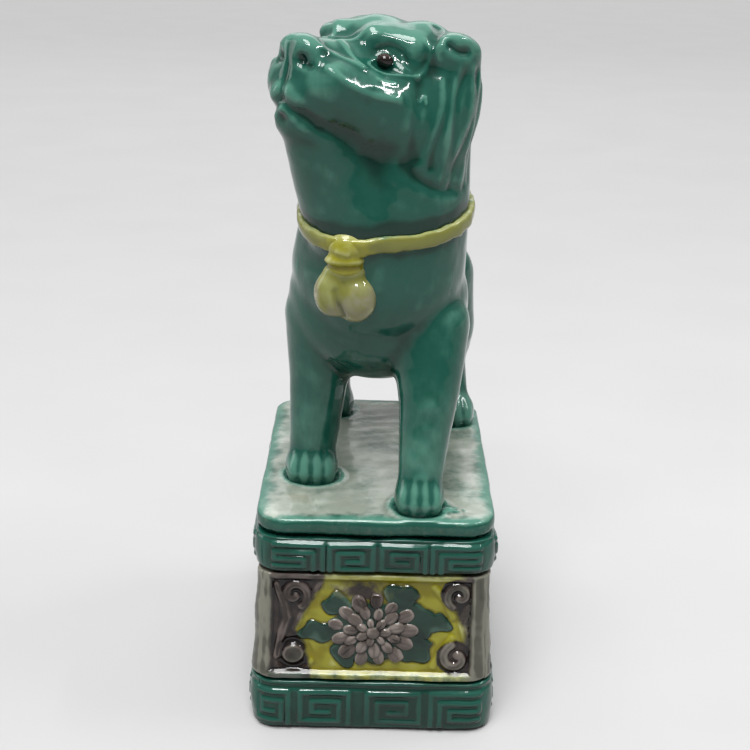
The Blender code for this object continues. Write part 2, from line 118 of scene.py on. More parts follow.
class Wiring:
    """Short names for the nodes of one material."""

    def __init__(self, name: str) -> None:
        """Start a material with a Principled shader."""
        self.material = bpy.data.materials.new(name)
        self.material.use_nodes = True
        self.tree = self.material.node_tree
        self.shader = self.tree.nodes["Principled BSDF"]
        self.coords = self.add("TexCoord", {})["Object"]

    def feed(self, socket: Socket, value: object) -> None:
        """Give a socket a link, a number or a colour."""
        if isinstance(value, bpy.types.NodeSocket):
            self.tree.links.new(value, socket)
        elif isinstance(value, tuple):
            socket.default_value = (*value, 1.0) if len(socket.default_value) == 4 else value
        else:
            socket.default_value = value

    def shade(self, **inputs: object) -> None:
        """Feed the shader's own sockets."""
        for name, value in inputs.items():
            self.feed(self.shader.inputs[name.replace("_", " ")], value)

    def add(self, kind: str, inputs: dict[str | int, object], **options: str) -> Sequence[Socket]:
        """Add a node.

        Args:
            kind: Its type.
            inputs: What each of its sockets gets.
            options: Its own settings.

        Returns:
            Its outputs.
        """
        node = self.tree.nodes.new(f"ShaderNode{kind}")
        for name, value in options.items():
            setattr(node, name, value)
        for key, value in inputs.items():
            self.feed(node.inputs[key], value)
        return node.outputs

    def stretched(self, scale: Point) -> Socket:
        """Object coordinates stretched along the axes."""
        return self.add("Mapping", {"Vector": self.coords, "Scale": scale})["Vector"]

    def noise(
        self, size: float, detail: float = 3.0, rough: float = 0.5, at: Socket | None = None
    ) -> Socket:
        """Soft noise whose spots are about this many millimetres across."""
        inputs = {"Vector": at or self.coords, "Scale": 1.0 / (size * MM), "Detail": detail}
        return self.add("TexNoise", {**inputs, "Roughness": rough})["Fac"]

    def cells(self, size: float) -> Socket:
        """Distance to the nearest of many scattered points."""
        return self.add("TexVoronoi", {"Vector": self.coords, "Scale": 1.0 / (size * MM)})["Distance"]

    def ramp(self, value: Socket, start: float, end: float) -> Socket:
        """Soft step from 0 at start to 1 at end."""
        inputs = {"Value": value, "From Min": start, "From Max": end}
        return self.add("MapRange", inputs, interpolation_type="SMOOTHSTEP")["Result"]

    def maths(self, kind: str, one: object, two: object) -> Socket:
        """Combine two numbers."""
        return self.add("Math", {0: one, 1: two}, operation=kind)[0]

    def mix(self, share: object, one: object, two: object) -> Socket:
        """Blend two colours."""
        return self.add("Mix", {0: share, 6: one, 7: two}, data_type="RGBA")[2]

    def layer(self, name: str, output: str) -> Socket:
        """An attribute stored on the piece, as its Color or its Fac."""
        return self.add("Attribute", {}, attribute_name=name)[output]

    def split(self, colour: Socket) -> Sequence[Socket]:
        """The three channels of a colour."""
        return self.add("SeparateColor", {"Color": colour})[:3]

    def bump(self, height: Socket, depth: float, under: Socket | None = None) -> Socket:
        """Relief too fine to model.

        Args:
            height: Height pattern, 0 to 1.
            depth: Its depth in millimetres.
            under: Relief that it lies on.

        Returns:
            The bent normal.
        """
        inputs = {"Strength": 1.0, "Distance": depth * MM, "Height": height}
        if under is not None:
            inputs["Normal"] = under
        return self.add("Bump", inputs)["Normal"]


@dataclass(frozen=True)
class Glaze:
    """A fired glaze over pale clay.

    Args:
        name: What the potter calls it.
        thin: Its colour on ridges, where it runs off.
        even: Its colour on open surfaces.
        deep: Its colour where it pools.
        gloss: Roughness of its surface.
        ripple: Depth in millimetres of its unevenness.
    """

    name: str
    # thin: Its colour on ridges, where it runs off, and on tops, where it also stands for painted top light.
    thin: Point
    even: Point
    # deep: Its colour where it pools, and in painted shade.
    deep: Point
    gloss: float = 0.09
    ripple: float = 0.05

    def coat(self, wiring: Wiring, colour: Socket) -> Material:
        """Finish a material with this glaze's shine, pinholes and ripple.

        Args:
            wiring: The material being made.
            colour: Its colour so far.

        Returns:
            The finished material.
        """
        pin = wiring.ramp(wiring.cells(2.6), 0.05, 0.015)
        rare = wiring.ramp(wiring.noise(5.0), 0.56, 0.62)
        holes = wiring.maths("MULTIPLY", pin, rare)
        specked = wiring.mix(wiring.maths("MULTIPLY", holes, 0.6), colour, self.deep)
        smear = wiring.maths("MULTIPLY", wiring.noise(9.0, 4.0), 0.12)
        rough = wiring.maths("ADD", smear, self.gloss - 0.05)
        wave = wiring.bump(wiring.noise(7.0, 2.0), self.ripple * 4.0)
        skin = wiring.bump(wiring.noise(1.1, 2.0), self.ripple * 0.35, wave)
        dents = wiring.bump(wiring.maths("SUBTRACT", 1.0, holes), self.ripple, skin)
        wiring.shade(Base_Color=specked, Roughness=rough, IOR=GLAZE_IOR, Normal=dents)
        return wiring.material

    def depth_colour(self, wiring: Wiring) -> Socket:
        """The glaze's colour, deeper in hollows and in painted shade, paler on ridges and under painted top
        light.
        """
        cloud = wiring.maths("MULTIPLY", wiring.noise(15.0, 4.0, 0.55), 0.6)
        drift = wiring.noise(4.5, 3.0, 0.6, wiring.stretched((1.0, 1.0, 0.4)))
        unrest = wiring.maths("ADD", cloud, wiring.maths("MULTIPLY", drift, 0.26))
        # The stored depth holds glaze pooled in hollows together with painted shade and painted top light.
        depth = wiring.maths("ADD", wiring.layer("pool", "Fac"), wiring.maths("SUBTRACT", unrest, 0.43))
        colour = wiring.mix(wiring.ramp(depth, 0.4, 0.04), self.even, self.thin)
        return wiring.mix(wiring.ramp(depth, 0.46, 0.86), colour, self.deep)

    def plain(self) -> Material:
        """This glaze on its own, all over a piece."""
        wiring = Wiring(self.name)
        return self.coat(wiring, self.depth_colour(wiring))


GREEN = Glaze("copper green glaze", (0.055, 0.165, 0.122), (0.0075, 0.062, 0.043), (0.0018, 0.022, 0.0145))
YELLOW = Glaze("straw yellow glaze", (0.34, 0.345, 0.13), (0.225, 0.215, 0.016), (0.15, 0.13, 0.002))
OLIVE = Glaze("olive yellow glaze", (0.25, 0.265, 0.10), (0.145, 0.15, 0.032), (0.03, 0.045, 0.006))
AUBERGINE = Glaze("aubergine glaze", (0.095, 0.075, 0.067), (0.024, 0.016, 0.013), (0.005, 0.003, 0.003))
CREAM = Glaze("cream glaze", (0.155, 0.152, 0.12), (0.062, 0.061, 0.046), (0.018, 0.022, 0.014), 0.12)
BISQUE = Glaze("warm cream glaze", (0.27, 0.26, 0.19), (0.19, 0.178, 0.12), (0.085, 0.08, 0.035), 0.12)
PALE = Glaze("pale deck glaze", (0.36, 0.385, 0.34), (0.205, 0.232, 0.193), (0.05, 0.085, 0.062), 0.14)
LEAF = Glaze("leaf green glaze", (0.035, 0.075, 0.055), (0.007, 0.027, 0.018), (0.002, 0.010, 0.007))
PETAL = Glaze("petal glaze", (0.18, 0.15, 0.135), (0.084, 0.067, 0.058), (0.012, 0.008, 0.007))
BLACK = Glaze("eye glaze", (0.05, 0.03, 0.02), (0.008, 0.005, 0.004), (0.002, 0.002, 0.002), 0.05)


def brushed(base: Glaze, marks: Sequence[Glaze], name: str, blur: float = 0.18) -> Material:
    """A ground glaze with up to three others brushed over it.

    Args:
        base: The ground glaze.
        marks: Glazes where the painted layer's red, green and blue are high.
        name: The material's name.
        blur: How far the glazes run into each other.

    Returns:
        The material.
    """
    wiring = Wiring(name)
    colour = base.depth_colour(wiring)
    paint = wiring.layer("paint", "Color")
    run = wiring.maths("MULTIPLY", wiring.maths("SUBTRACT", wiring.noise(2.6, 5.0, 0.62), 0.5), 1.1)
    for channel, mark in zip(wiring.split(paint), marks):
        edge = wiring.ramp(wiring.maths("ADD", channel, run), 0.5 - blur, 0.5 + blur)
        colour = wiring.mix(edge, colour, mark.depth_colour(wiring))
    return base.coat(wiring, colour)


# Clay


@dataclass
class Clay:
    """A dense skin that can be pushed and carved like soft clay.

    Args:
        mesh: The skin's mesh, in metres.
    """

    mesh: Mesh
    spots: Array = field(init=False)
    out: Array = field(init=False)

    def __post_init__(self) -> None:
        """Read the mesh into arrays."""
        self.refresh()

    @classmethod
    def melted(cls, form: Form, cell: float, rounds: int) -> Clay:
        """Press overlapping masses into one smooth skin.

        Args:
            form: Overlapping closed masses; freed here.
            cell: Cell size of the skin.
            rounds: How many times the skin is softened.

        Returns:
            The clay.
        """
        item = placed("passing", to_mesh(form, "masses"))
        for size, passes in ((2.0 * cell, rounds), (cell, rounds // 2)):
            melt = item.modifiers.new("melt", "REMESH")
            melt.mode = "VOXEL"
            melt.voxel_size = size
            soften = item.modifiers.new("soften", "SMOOTH")
            soften.factor = 0.5
            soften.iterations = passes
        graph = bpy.context.evaluated_depsgraph_get()
        mesh = bpy.data.meshes.new_from_object(item.evaluated_get(graph))
        bpy.data.objects.remove(item, do_unlink=True)
        return cls(mesh)

    @classmethod
    def pressed(cls, masses: Sequence[Mass], cell: float, rounds: int) -> Clay:
        """Masses given in millimetres, pressed into one skin."""
        form = bmesh.new()
        for middle, half in masses:
            ball(form, middle, half, IN_MM)
        return cls.melted(form, cell, rounds)

    def refresh(self) -> None:
        """Read points and normals again after a change."""
        self.spots, self.out = (self.read(name) for name in ("co", "normal"))

    def read(self, name: str) -> Array:
        """One row of three numbers for each point."""
        rows = np.empty(len(self.mesh.vertices) * 3, np.float32)
        self.mesh.vertices.foreach_get(name, rows)
        return rows.reshape(-1, 3).astype(np.float64)

    def push(self, amount: Array) -> None:
        """Move every point outwards by its own amount."""
        self.spots += self.out * amount[:, None]
        self.store()

    def store(self) -> None:
        """Write the points back to the mesh."""
        self.mesh.vertices.foreach_set("co", self.spots.astype(np.float32).ravel())
        self.mesh.update()
        self.refresh()

    def reach(self, path: Array) -> Array:
        """Distance of every point from a path.

        Args:
            path: The path's points, one row each.

        Returns:
            One distance for each point of the skin.
        """
        best = np.full(len(self.spots), FAR)
        for start, end in zip(path[:-1], path[1:]):
            run = end - start
            share = np.clip((self.spots - start) @ run / max(run @ run, 1e-12), 0.0, 1.0)
            gap = self.spots - start - share[:, None] * run
            best = np.minimum(best, np.einsum("ij,ij->i", gap, gap))
        return np.sqrt(best)

    def tree(self) -> BVHTree:
        """Search tree over the skin as it is now."""
        form = bmesh.new()
        form.from_mesh(self.mesh)
        made = BVHTree.FromBMesh(form)
        form.free()
        return made

    def relax(self, rounds: int, weight: Array) -> None:
        """Soften where the weight is high.

        Args:
            rounds: How many passes.
            weight: Share of each pass taken by each point, 0 to 1.
        """
        ends = edge_ends(self.mesh)
        count = degree(ends, len(self.spots))
        for _ in range(rounds):
            mean = neighbour_sum(ends, self.spots) / count[:, None]
            self.spots += (mean - self.spots) * weight[:, None]
        self.store()

    def hollowness(self, rounds: int) -> Array:
        """How far each point lies below the skin around it.

        Args:
            rounds: Width of the comparison, in rings of points.

        Returns:
            Depth in metres, positive in hollows and negative on ridges.
        """
        ends = edge_ends(self.mesh)
        count = degree(ends, len(self.spots))
        mean = self.spots.copy()
        for _ in range(rounds):
            mean = (mean + neighbour_sum(ends, mean) / count[:, None]) / 2.0
        return np.einsum("ij,ij->i", mean - self.spots, self.out)


def edge_ends(mesh: Mesh) -> Array:
    """Both ends of every edge, one row each."""
    ends = np.empty(len(mesh.edges) * 2, np.int32)
    mesh.edges.foreach_get("vertices", ends)
    return ends.reshape(-1, 2)


def degree(ends: Array, count: int) -> Array:
    """Number of neighbours of each point."""
    return np.maximum(np.bincount(ends.ravel(), minlength=count), 1).astype(np.float64)


def neighbour_sum(ends: Array, values: Array) -> Array:
    """Sum of the neighbours' values at each point.

    Args:
        ends: Edge ends.
        values: One row for each point.

    Returns:
        The sums, one row for each point.
    """
    count = len(values)
    first, second = ends.T
    total = np.empty_like(values)
    for column in range(values.shape[1]):
        here = np.bincount(first, weights=values[second, column], minlength=count)
        total[:, column] = here + np.bincount(second, weights=values[first, column], minlength=count)
    return total


def to_mesh(form: Form, name: str) -> Mesh:
    """Turn an edited form into a mesh and free it."""
    mesh = bpy.data.meshes.new(name)
    form.to_mesh(mesh)
    form.free()
    return mesh


def placed(name: str, data: bpy.types.ID) -> bpy.types.Object:
    """An object in the scene that carries the data."""
    item = bpy.data.objects.new(name, data)
    bpy.context.scene.collection.objects.link(item)
    return item


def points_of(form: Form) -> Array:
    """Where a form's points are, one row each."""
    return np.array([point.co[:] for point in form.verts])


def mirrored(at: Point, side: float) -> Point:
    """The point on its own side for 1, on the other side for -1."""
    return side * at[0], at[1], at[2]


def rim_of(form: Form) -> list[bmesh.types.BMEdge]:
    """Edges with a face on one side only."""
    return [edge for edge in form.edges if edge.is_boundary]


def skirted(form: Form) -> list[bmesh.types.BMVert]:
    """Run a wall of faces back from the rim; its new points."""
    made = bmesh.ops.extrude_edge_only(form, edges=rim_of(form))["geom"]
    return [item for item in made if isinstance(item, bmesh.types.BMVert)]


def ball(form: Form, middle: Point, half: Point, place: Matrix, fine: int = 4) -> None:
    """Add one rounded mass.

    Args:
        form: The form to add to.
        middle: Its middle, in the place's frame.
        half: Its three half sizes.
        place: The frame it is given in.
        fine: Subdivisions of the mass.
    """
    move = place @ Matrix.Translation(Vector(middle)) @ Matrix.Diagonal((*half, 1.0))
    bmesh.ops.create_icosphere(form, subdivisions=fine, radius=1.0, matrix=move)


def limb(form: Form, points: Sequence[tuple[Point, float]], place: Matrix) -> None:
    """Add a run of masses whose radius changes evenly between points.

    Args:
        form: The form to add to.
        points: Middle and radius at each bend.
        place: The frame they are given in.
    """
    for (start, wide), (end, narrow) in zip(points, points[1:]):
        run = Vector(end) - Vector(start)
        steps = max(2, round(run.length / LIMB_STEP))
        for step in range(steps + 1):
            share = step / steps
            ball(form, Vector(start) + run * share, [wide + (narrow - wide) * share] * 3, place, 3)


def hump(distance: Array, width: float) -> Array:
    """Bell curve: 1 at no distance, and fading over the width."""
    return np.exp(-((distance / width) ** 2))


def smooth_step(edge0: float, edge1: float, value: Array) -> Array:
    """Soft ramp from 0 to 1 between two edges."""
    share = np.clip((value - edge0) / (edge1 - edge0), 0.0, 1.0)
    return share * share * (3.0 - 2.0 * share)


# Figure


@dataclass(frozen=True)
class Stroke:
    """One pass of a modelling tool.

    Args:
        path: Points along it, in millimetres in the frame it is given in.
        width: Half width of the tool.
        rise: How far it builds up, or cuts when negative.
        both: Whether the other side gets its mirror image.
    """

    path: tuple[Point, ...]
    width: float
    rise: float
    both: bool = True


def eased(points: Array, steps: int = 5) -> Array:
    """A smooth curve through a few points.

    Args:
        points: One row each.
        steps: Points made for each stretch.

    Returns:
        The curve's points.
    """
    if len(points) < 3:
        return points
    full = np.vstack([2.0 * points[0] - points[1], points, 2.0 * points[-1] - points[-2]])
    made = []
    for index in range(1, len(full) - 2):
        before, start, end, after = full[index - 1 : index + 3]
        for share in np.linspace(0.0, 1.0, steps, endpoint=False):
            curve = 2.0 * start + (end - before) * share
            curve = curve + (2.0 * before - 5.0 * start + 4.0 * end - after) * share**2
            made.append((curve + (3.0 * start - 3.0 * end + after - before) * share**3) / 2.0)
    made.append(points[-1])
    return np.array(made)


def work(clay: Clay, strokes: Sequence[Stroke], place: Matrix) -> None:
    """Work strokes into the skin, all judged on its shape before them.

    Args:
        clay: The skin.
        strokes: The strokes.
        place: The frame they are given in.
    """
    tree = clay.tree()
    amount = np.zeros(len(clay.spots))
    for stroke in strokes:
        for side in BOTH_SIDES if stroke.both else (1.0,):
            spots = [place @ Vector(mirrored(at, side)) for at in stroke.path]
            path = eased(np.array([list(tree.find_nearest(spot)[0]) for spot in spots]))
            path = np.array([list(tree.find_nearest(Vector(spot))[0]) for spot in path])
            if len(path) == 1:
                path = np.vstack([path, path])
            amount += stroke.rise * MM * hump(clay.reach(path), stroke.width * MM)
    clay.push(amount)


def ripples(spots: Array, size: float, seed: int) -> Array:
    """Gentle unevenness, between about -1 and 1.

    Args:
        spots: Points, one row each.
        size: Spacing of the waves in millimetres.
        seed: Choice of pattern.

    Returns:
        One value for each point.
    """
    pick = np.random.default_rng(seed)
    total = np.zeros(len(spots))
    for _ in range(9):
        way = pick.normal(size=3)
        way *= math.tau / (size * MM) / np.linalg.norm(way) * pick.uniform(0.6, 1.5)
        total += np.sin(spots @ way + pick.uniform(0.0, math.tau))
    return total / 4.0


def store_pool(
    clay: Clay, strength: float = 1.0, rounds: int = 10, base: float = 0.43, extra: Array | float = 0.0
) -> None:
    """Keep on the skin how deep the glaze lies, painted shade and light included: near 1 in hollows and on
    undersides (painted shade), near 0 on ridges and on tops (thin glaze and painted top light).

    Args:
        clay: The skin.
        strength: How much its shape matters.
        rounds: Width of the shapes that matter, in rings of points.
        base: Depth on open surfaces.
        extra: Depth added at each point.
    """
    fine = np.tanh(clay.hollowness(rounds) / FINE_HOLLOW)
    broad = np.tanh(clay.hollowness(rounds * 5) / BROAD_HOLLOW)
    # Painted shade: faces that look down get deeper, darker glaze. Faces that look up get paler glaze,
    # partly thin glaze run off and partly painted top light.
    under = smooth_step(0.05, 0.75, -clay.out[:, 2])
    thin_top_and_painted_light = smooth_step(0.25, 0.95, clay.out[:, 2])
    depth = base + extra + 0.2 * strength * (fine + broad) + 0.24 * under - 0.2 * thin_top_and_painted_light
    layer = clay.mesh.attributes.new("pool", "FLOAT", "POINT")
    layer.data.foreach_set("value", np.clip(depth, 0.0, 1.0).astype(np.float32))


def store_paint(mesh: Mesh, *layers: Array) -> None:
    """Keep where up to three brushed glazes lie; points past a layer's end get none."""
    rows = np.zeros((len(mesh.vertices), 4))
    rows[:, 3] = 1.0
    for column, layer in enumerate(layers):
        rows[: len(layer), column] = layer
    kept = mesh.attributes.new("paint", "FLOAT_COLOR", "POINT")
    kept.data.foreach_set("color", np.clip(rows, 0.0, 1.0).astype(np.float32).ravel())


def show(name: str, mesh: Mesh, material: Material, nodes: Sequence[str]) -> None:
    """Put a finished piece in the scene.

    Args:
        name: The piece's name.
        mesh: Its mesh, already in place.
        material: Its material.
        nodes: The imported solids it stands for.
    """
    mesh.name = name
    mesh.materials.clear()
    mesh.materials.append(material)
    mesh.shade_smooth()
    mesh.set_sharp_from_angle(angle=SMOOTH_UP_TO)
    item = placed(name, mesh)
    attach(item, "root")
    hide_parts(*nodes)
    LOG.info("%s: %d faces", name, len(mesh.polygons))


@dataclass
class DogMasses:
    """The dog's masses, in millimetres: the body from the deck, the head in its own frame."""

    body: tuple[Mass, ...] = (
        ((-0.6, -12.0, 48.5), (23.2, 19.0, 21.5)),
        ((1.0, 8.0, 49.0), (21.0, 25.0, 18.0)),
        ((2.2, 25.0, 49.0), (20.5, 15.0, 17.5)),
    )
    limbs: tuple[Run, ...] = (
        (((-0.6, -14.0, 58.0), 22.2), ((1.2, -15.5, 76.0), 20.4), ((2.2, -15.0, 92.0), 19.4)),
        (((12.5, -20.0, 44.0), 10.5), ((12.5, -28.0, 26.0), 7.4), ((11.0, -32.5, 8.0), 5.9)),
        (((-14.0, -12.0, 44.0), 11.0), ((-15.5, -13.0, 28.0), 8.0), ((-17.0, -14.0, 8.0), 6.5)),
        (
            ((13.0, 24.0, 44.0), 13.6),
            ((17.5, 25.0, 30.0), 9.8),
            ((20.3, 34.0, 17.0), 5.6),
            ((21.3, 29.5, 6.0), 5.6),
        ),
        (
            ((-9.0, 26.0, 44.0), 13.6),
            ((-12.0, 27.0, 30.0), 9.8),
            ((-13.5, 38.0, 17.0), 5.6),
            ((-13.5, 35.0, 6.0), 5.6),
        ),
    )
    paws: tuple[Mass, ...] = (
        ((10.8, -34.0, 2.8), (6.5, 7.0, 7.0)),
        ((-17.2, -16.0, 2.8), (7.3, 7.0, 7.0)),
        ((21.8, 26.5, 2.8), (7.0, 7.2, 6.8)),
        ((-13.5, 32.5, 2.8), (6.8, 7.2, 6.8)),
    )
    toe: Point = (2.1, 2.9, 4.2)
    toe_drop: float = 0.4
    toe_shares: tuple[float, ...] = (-0.72, -0.25, 0.25, 0.72)
    gap_shares: tuple[float, ...] = (-0.49, 0.0, 0.49)
    head_middle: tuple[Mass, ...] = (
        ((0.0, 3.0, 1.0), (19.0, 19.0, 16.6)),
        ((0.0, -2.0, 9.0), (13.8, 10.5, 8.2)),
        ((0.0, -26.0, 3.0), (6.4, 4.8, 4.5)),
        ((0.0, -26.4, -7.2), (5.8, 3.8, 4.8)),
        ((-9.4, -10.6, 9.6), (4.2, 4.2, 4.2)),
    )
    head_pairs: tuple[Mass, ...] = (
        ((16.5, 7.0, -1.5), (6.5, 10.0, 17.5)),
        ((17.0, 5.0, 11.0), (5.5, 8.0, 6.2)),
        ((9.0, 3.0, 9.6), (8.8, 10.0, 8.8)),
    )
    head_limbs: tuple[Run, ...] = (
        (((0.0, -6.0, -1.0), 13.0), ((0.0, -22.0, -0.4), 7.8)),
        (((0.0, 0.0, -12.0), 13.5), ((0.0, -20.5, -10.5), 7.6)),
        (((0.0, -18.5, -11.0), 7.8), ((0.5, -6.5, -21.0), 11.5), ((2.5, 2.0, -30.0), 14.0)),
    )
    head_limb_pairs: tuple[Run, ...] = (
        (((8.0, -1.0, -5.0), 12.2), ((5.0, -20.5, -3.2), 7.6)),
        (((6.0, -10.6, 10.2), 3.9), ((12.0, -4.8, 9.8), 4.8)),
    )


@dataclass
class DogModelling:
    """Tool strokes on the head, from broad to fine, in the head's frame."""

    broad: tuple[Stroke, ...] = (
        Stroke(((12.2, -11.2, 8.6),), 5.6, -1.5),
        Stroke(((12.6, -12.2, 5.6),), 3.0, -0.4),
        Stroke(((6.5, -20.5, 5.5),), 3.2, -0.5),
        Stroke(((0.0, -16.5, 9.0), (0.0, -12.0, 12.0)), 3.0, -0.7, False),
        Stroke(((5.0, -27.3, -4.4),), 4.0, 0.7),
        Stroke(((8.7, -26.0, 0.5), (11.3, -23.7, -1.2), (13.0, -20.4, -2.2), (17.0, -10.0, -2.0)), 2.6, 0.5),
        Stroke(((19.0, -2.0, 13.5), (20.5, 2.0, 15.0), (20.5, 8.0, 14.5)), 2.6, 0.8),
        Stroke(
            (
                (2.5, -13.5, 12.0),
                (5.0, -10.5, 14.0),
                (8.0, -7.5, 15.0),
                (11.5, -5.0, 14.4),
                (15.0, -3.6, 12.4),
            ),
            2.2,
            0.4,
        ),
        Stroke(((0.0, -11.0, 13.0), (0.0, -6.0, 15.5), (1.0, -2.0, 16.5)), 3.4, 0.6, False),
    )
    middle: tuple[Stroke, ...] = (
        Stroke(((3.4, -29.2, 0.9),), 1.2, -1.5),
        Stroke(((3.9, -29.0, 0.2), (5.2, -27.6, -0.2)), 0.8, -0.6),
        Stroke(((2.0, -29.0, 4.8), (4.6, -28.3, 3.8), (6.4, -26.6, 1.6)), 1.6, 0.4),
        Stroke(((0.0, -30.6, 3.4), (0.0, -30.4, 1.0)), 1.4, -0.3, False),
        Stroke(((0.0, -30.0, -0.8), (0.0, -28.8, -4.2), (0.0, -27.6, -7.0)), 0.8, -0.4, False),
        Stroke(((3.0, -25.0, 6.6), (5.5, -24.4, 4.8), (7.3, -24.6, 2.4), (7.6, -25.6, -0.4)), 1.6, -0.4),
        Stroke(
            ((0.0, -27.8, -8.2), (2.4, -27.2, -9.2), (4.9, -25.3, -10.8), (6.8, -22.4, -12.4)),
            1.5,
            -0.55,
        ),
        Stroke(
            ((4.9, -25.3, -10.6), (6.8, -22.4, -12.4), (8.4, -19.2, -13.0), (10.2, -15.6, -12.4)),
            2.2,
            -0.34,
        ),
        Stroke(((1.6, -28.2, -6.6), (3.8, -27.2, -8.2), (6.4, -25.0, -9.2), (8.6, -22.0, -10.0)), 1.6, 0.35),
        Stroke(((0.0, -27.6, -9.8), (1.4, -27.2, -10.8), (2.8, -26.4, -12.0)), 0.8, 0.4),
        Stroke(((2.8, -26.2, -12.8), (5.2, -23.4, -14.4), (7.6, -19.6, -15.0)), 1.8, 0.35),
        Stroke(((0.0, -26.4, -11.8),), 1.2, -0.35, False),
        Stroke(
            (
                (17.6, -4.8, 2.0),
                (18.4, -4.7, -1.5),
                (19.0, -4.6, -5.5),
                (18.6, -3.6, -10.0),
                (17.4, -1.0, -14.0),
            ),
            1.4,
            -0.5,
        ),
        Stroke(((19.6, -0.6, 12.8), (20.8, 1.2, 12.2), (21.6, 3.6, 12.6)), 1.0, -0.9),
        Stroke(((18.6, -1.8, 14.2), (20.2, 0.8, 14.8), (21.0, 4.0, 14.8)), 0.8, 0.4),
        Stroke(((19.0, -2.0, 12.6), (18.6, -3.0, 10.5), (19.6, -2.6, 8.6)), 0.8, 0.35),
        Stroke(((13.0, 1.0, 17.0), (15.6, -0.6, 15.4), (17.0, -2.8, 13.2)), 1.4, -0.7),
        Stroke(
            ((16.2, -2.0, -15.5), (18.8, 1.6, -18.4), (20.6, 7.0, -19.2), (20.4, 13.0, -18.2)),
            1.5,
            -0.5,
        ),
    )
    fine: tuple[Stroke, ...] = (
        Stroke(
            (
                (10.2, -14.6, 4.4),
                (11.9, -13.6, 3.5),
                (13.3, -11.6, 3.4),
                (15.2, -8.4, 3.7),
                (17.0, -5.0, 4.2),
            ),
            0.45,
            0.32,
        ),
        Stroke(
            (
                (10.0, -14.4, 5.2),
                (10.4, -13.2, 6.8),
                (11.6, -12.2, 7.6),
                (12.8, -11.1, 7.2),
                (13.9, -9.9, 6.1),
                (15.2, -8.4, 4.8),
            ),
            0.45,
            0.3,
        ),
        Stroke(((10.4, -13.6, 8.2), (11.9, -12.0, 9.0), (13.6, -10.2, 8.6), (15.0, -8.6, 7.2)), 0.7, -0.25),
        Stroke(((13.8, -9.6, 7.6), (15.0, -8.6, 6.0), (16.0, -7.2, 5.0)), 0.45, 0.25),
        Stroke(
            (
                (16.8, -5.2, 4.2),
                (17.4, -3.8, 6.2),
                (17.2, -3.2, 8.8),
                (16.6, -3.4, 11.0),
                (15.2, -4.2, 12.2),
            ),
            0.7,
            0.35,
        ),
        Stroke(((5.2, -25.6, 4.6), (6.9, -22.6, 4.4), (8.9, -19.9, 3.7), (11.0, -17.6, 2.6)), 0.9, 0.4),
        Stroke(((2.9, -18.6, 8.0), (5.2, -18.6, 7.0), (7.8, -18.4, 5.2), (11.0, -17.2, 2.8)), 0.8, 0.35),
        Stroke(((2.8, -17.6, 8.8), (4.2, -14.4, 10.8), (5.8, -12.2, 12.6)), 0.7, 0.3),
        Stroke(
            (
                (9.0, -25.8, 0.2),
                (11.2, -23.4, -1.4),
                (12.9, -20.2, -2.5),
                (14.7, -16.0, -3.0),
                (17.0, -10.0, -2.4),
            ),
            0.9,
            0.34,
        ),
        Stroke(((13.9, -14.4, 0.9), (14.8, -12.2, 0.7), (15.5, -10.6, 1.2)), 0.55, 0.22),
        Stroke(((18.6, -4.4, -1.2), (18.9, -3.5, 0.2), (18.7, -2.7, -1.2)), 0.5, 0.3),
    )
    locks: tuple[tuple[float, float, float, float], ...] = (
        (-1.6, 5.0, -15.0, 0.9),
        (2.6, 8.0, -17.5, -1.1),
        (6.8, 9.5, -18.0, 1.2),
        (11.0, 9.0, -17.0, -1.1),
        (15.0, 7.0, -15.0, 0.9),
    )

    def lock_strokes(self) -> list[Stroke]:
        """Waving locks of hair down each ear, with a groove beside each."""
        made = []
        for ahead, top, bottom, sway in self.locks:
            for shift, wide, rise in ((0.0, 1.15, 0.3), (2.1, 1.0, -0.3)):
                path = []
                for step in range(7):
                    share = step / 6.0
                    wave = sway * math.sin(share * math.tau * 0.85)
                    path.append((22.0, ahead + shift + wave + 2.2 * share, top + (bottom - top) * share))
                made.append(Stroke(tuple(path), wide, rise))
        return made


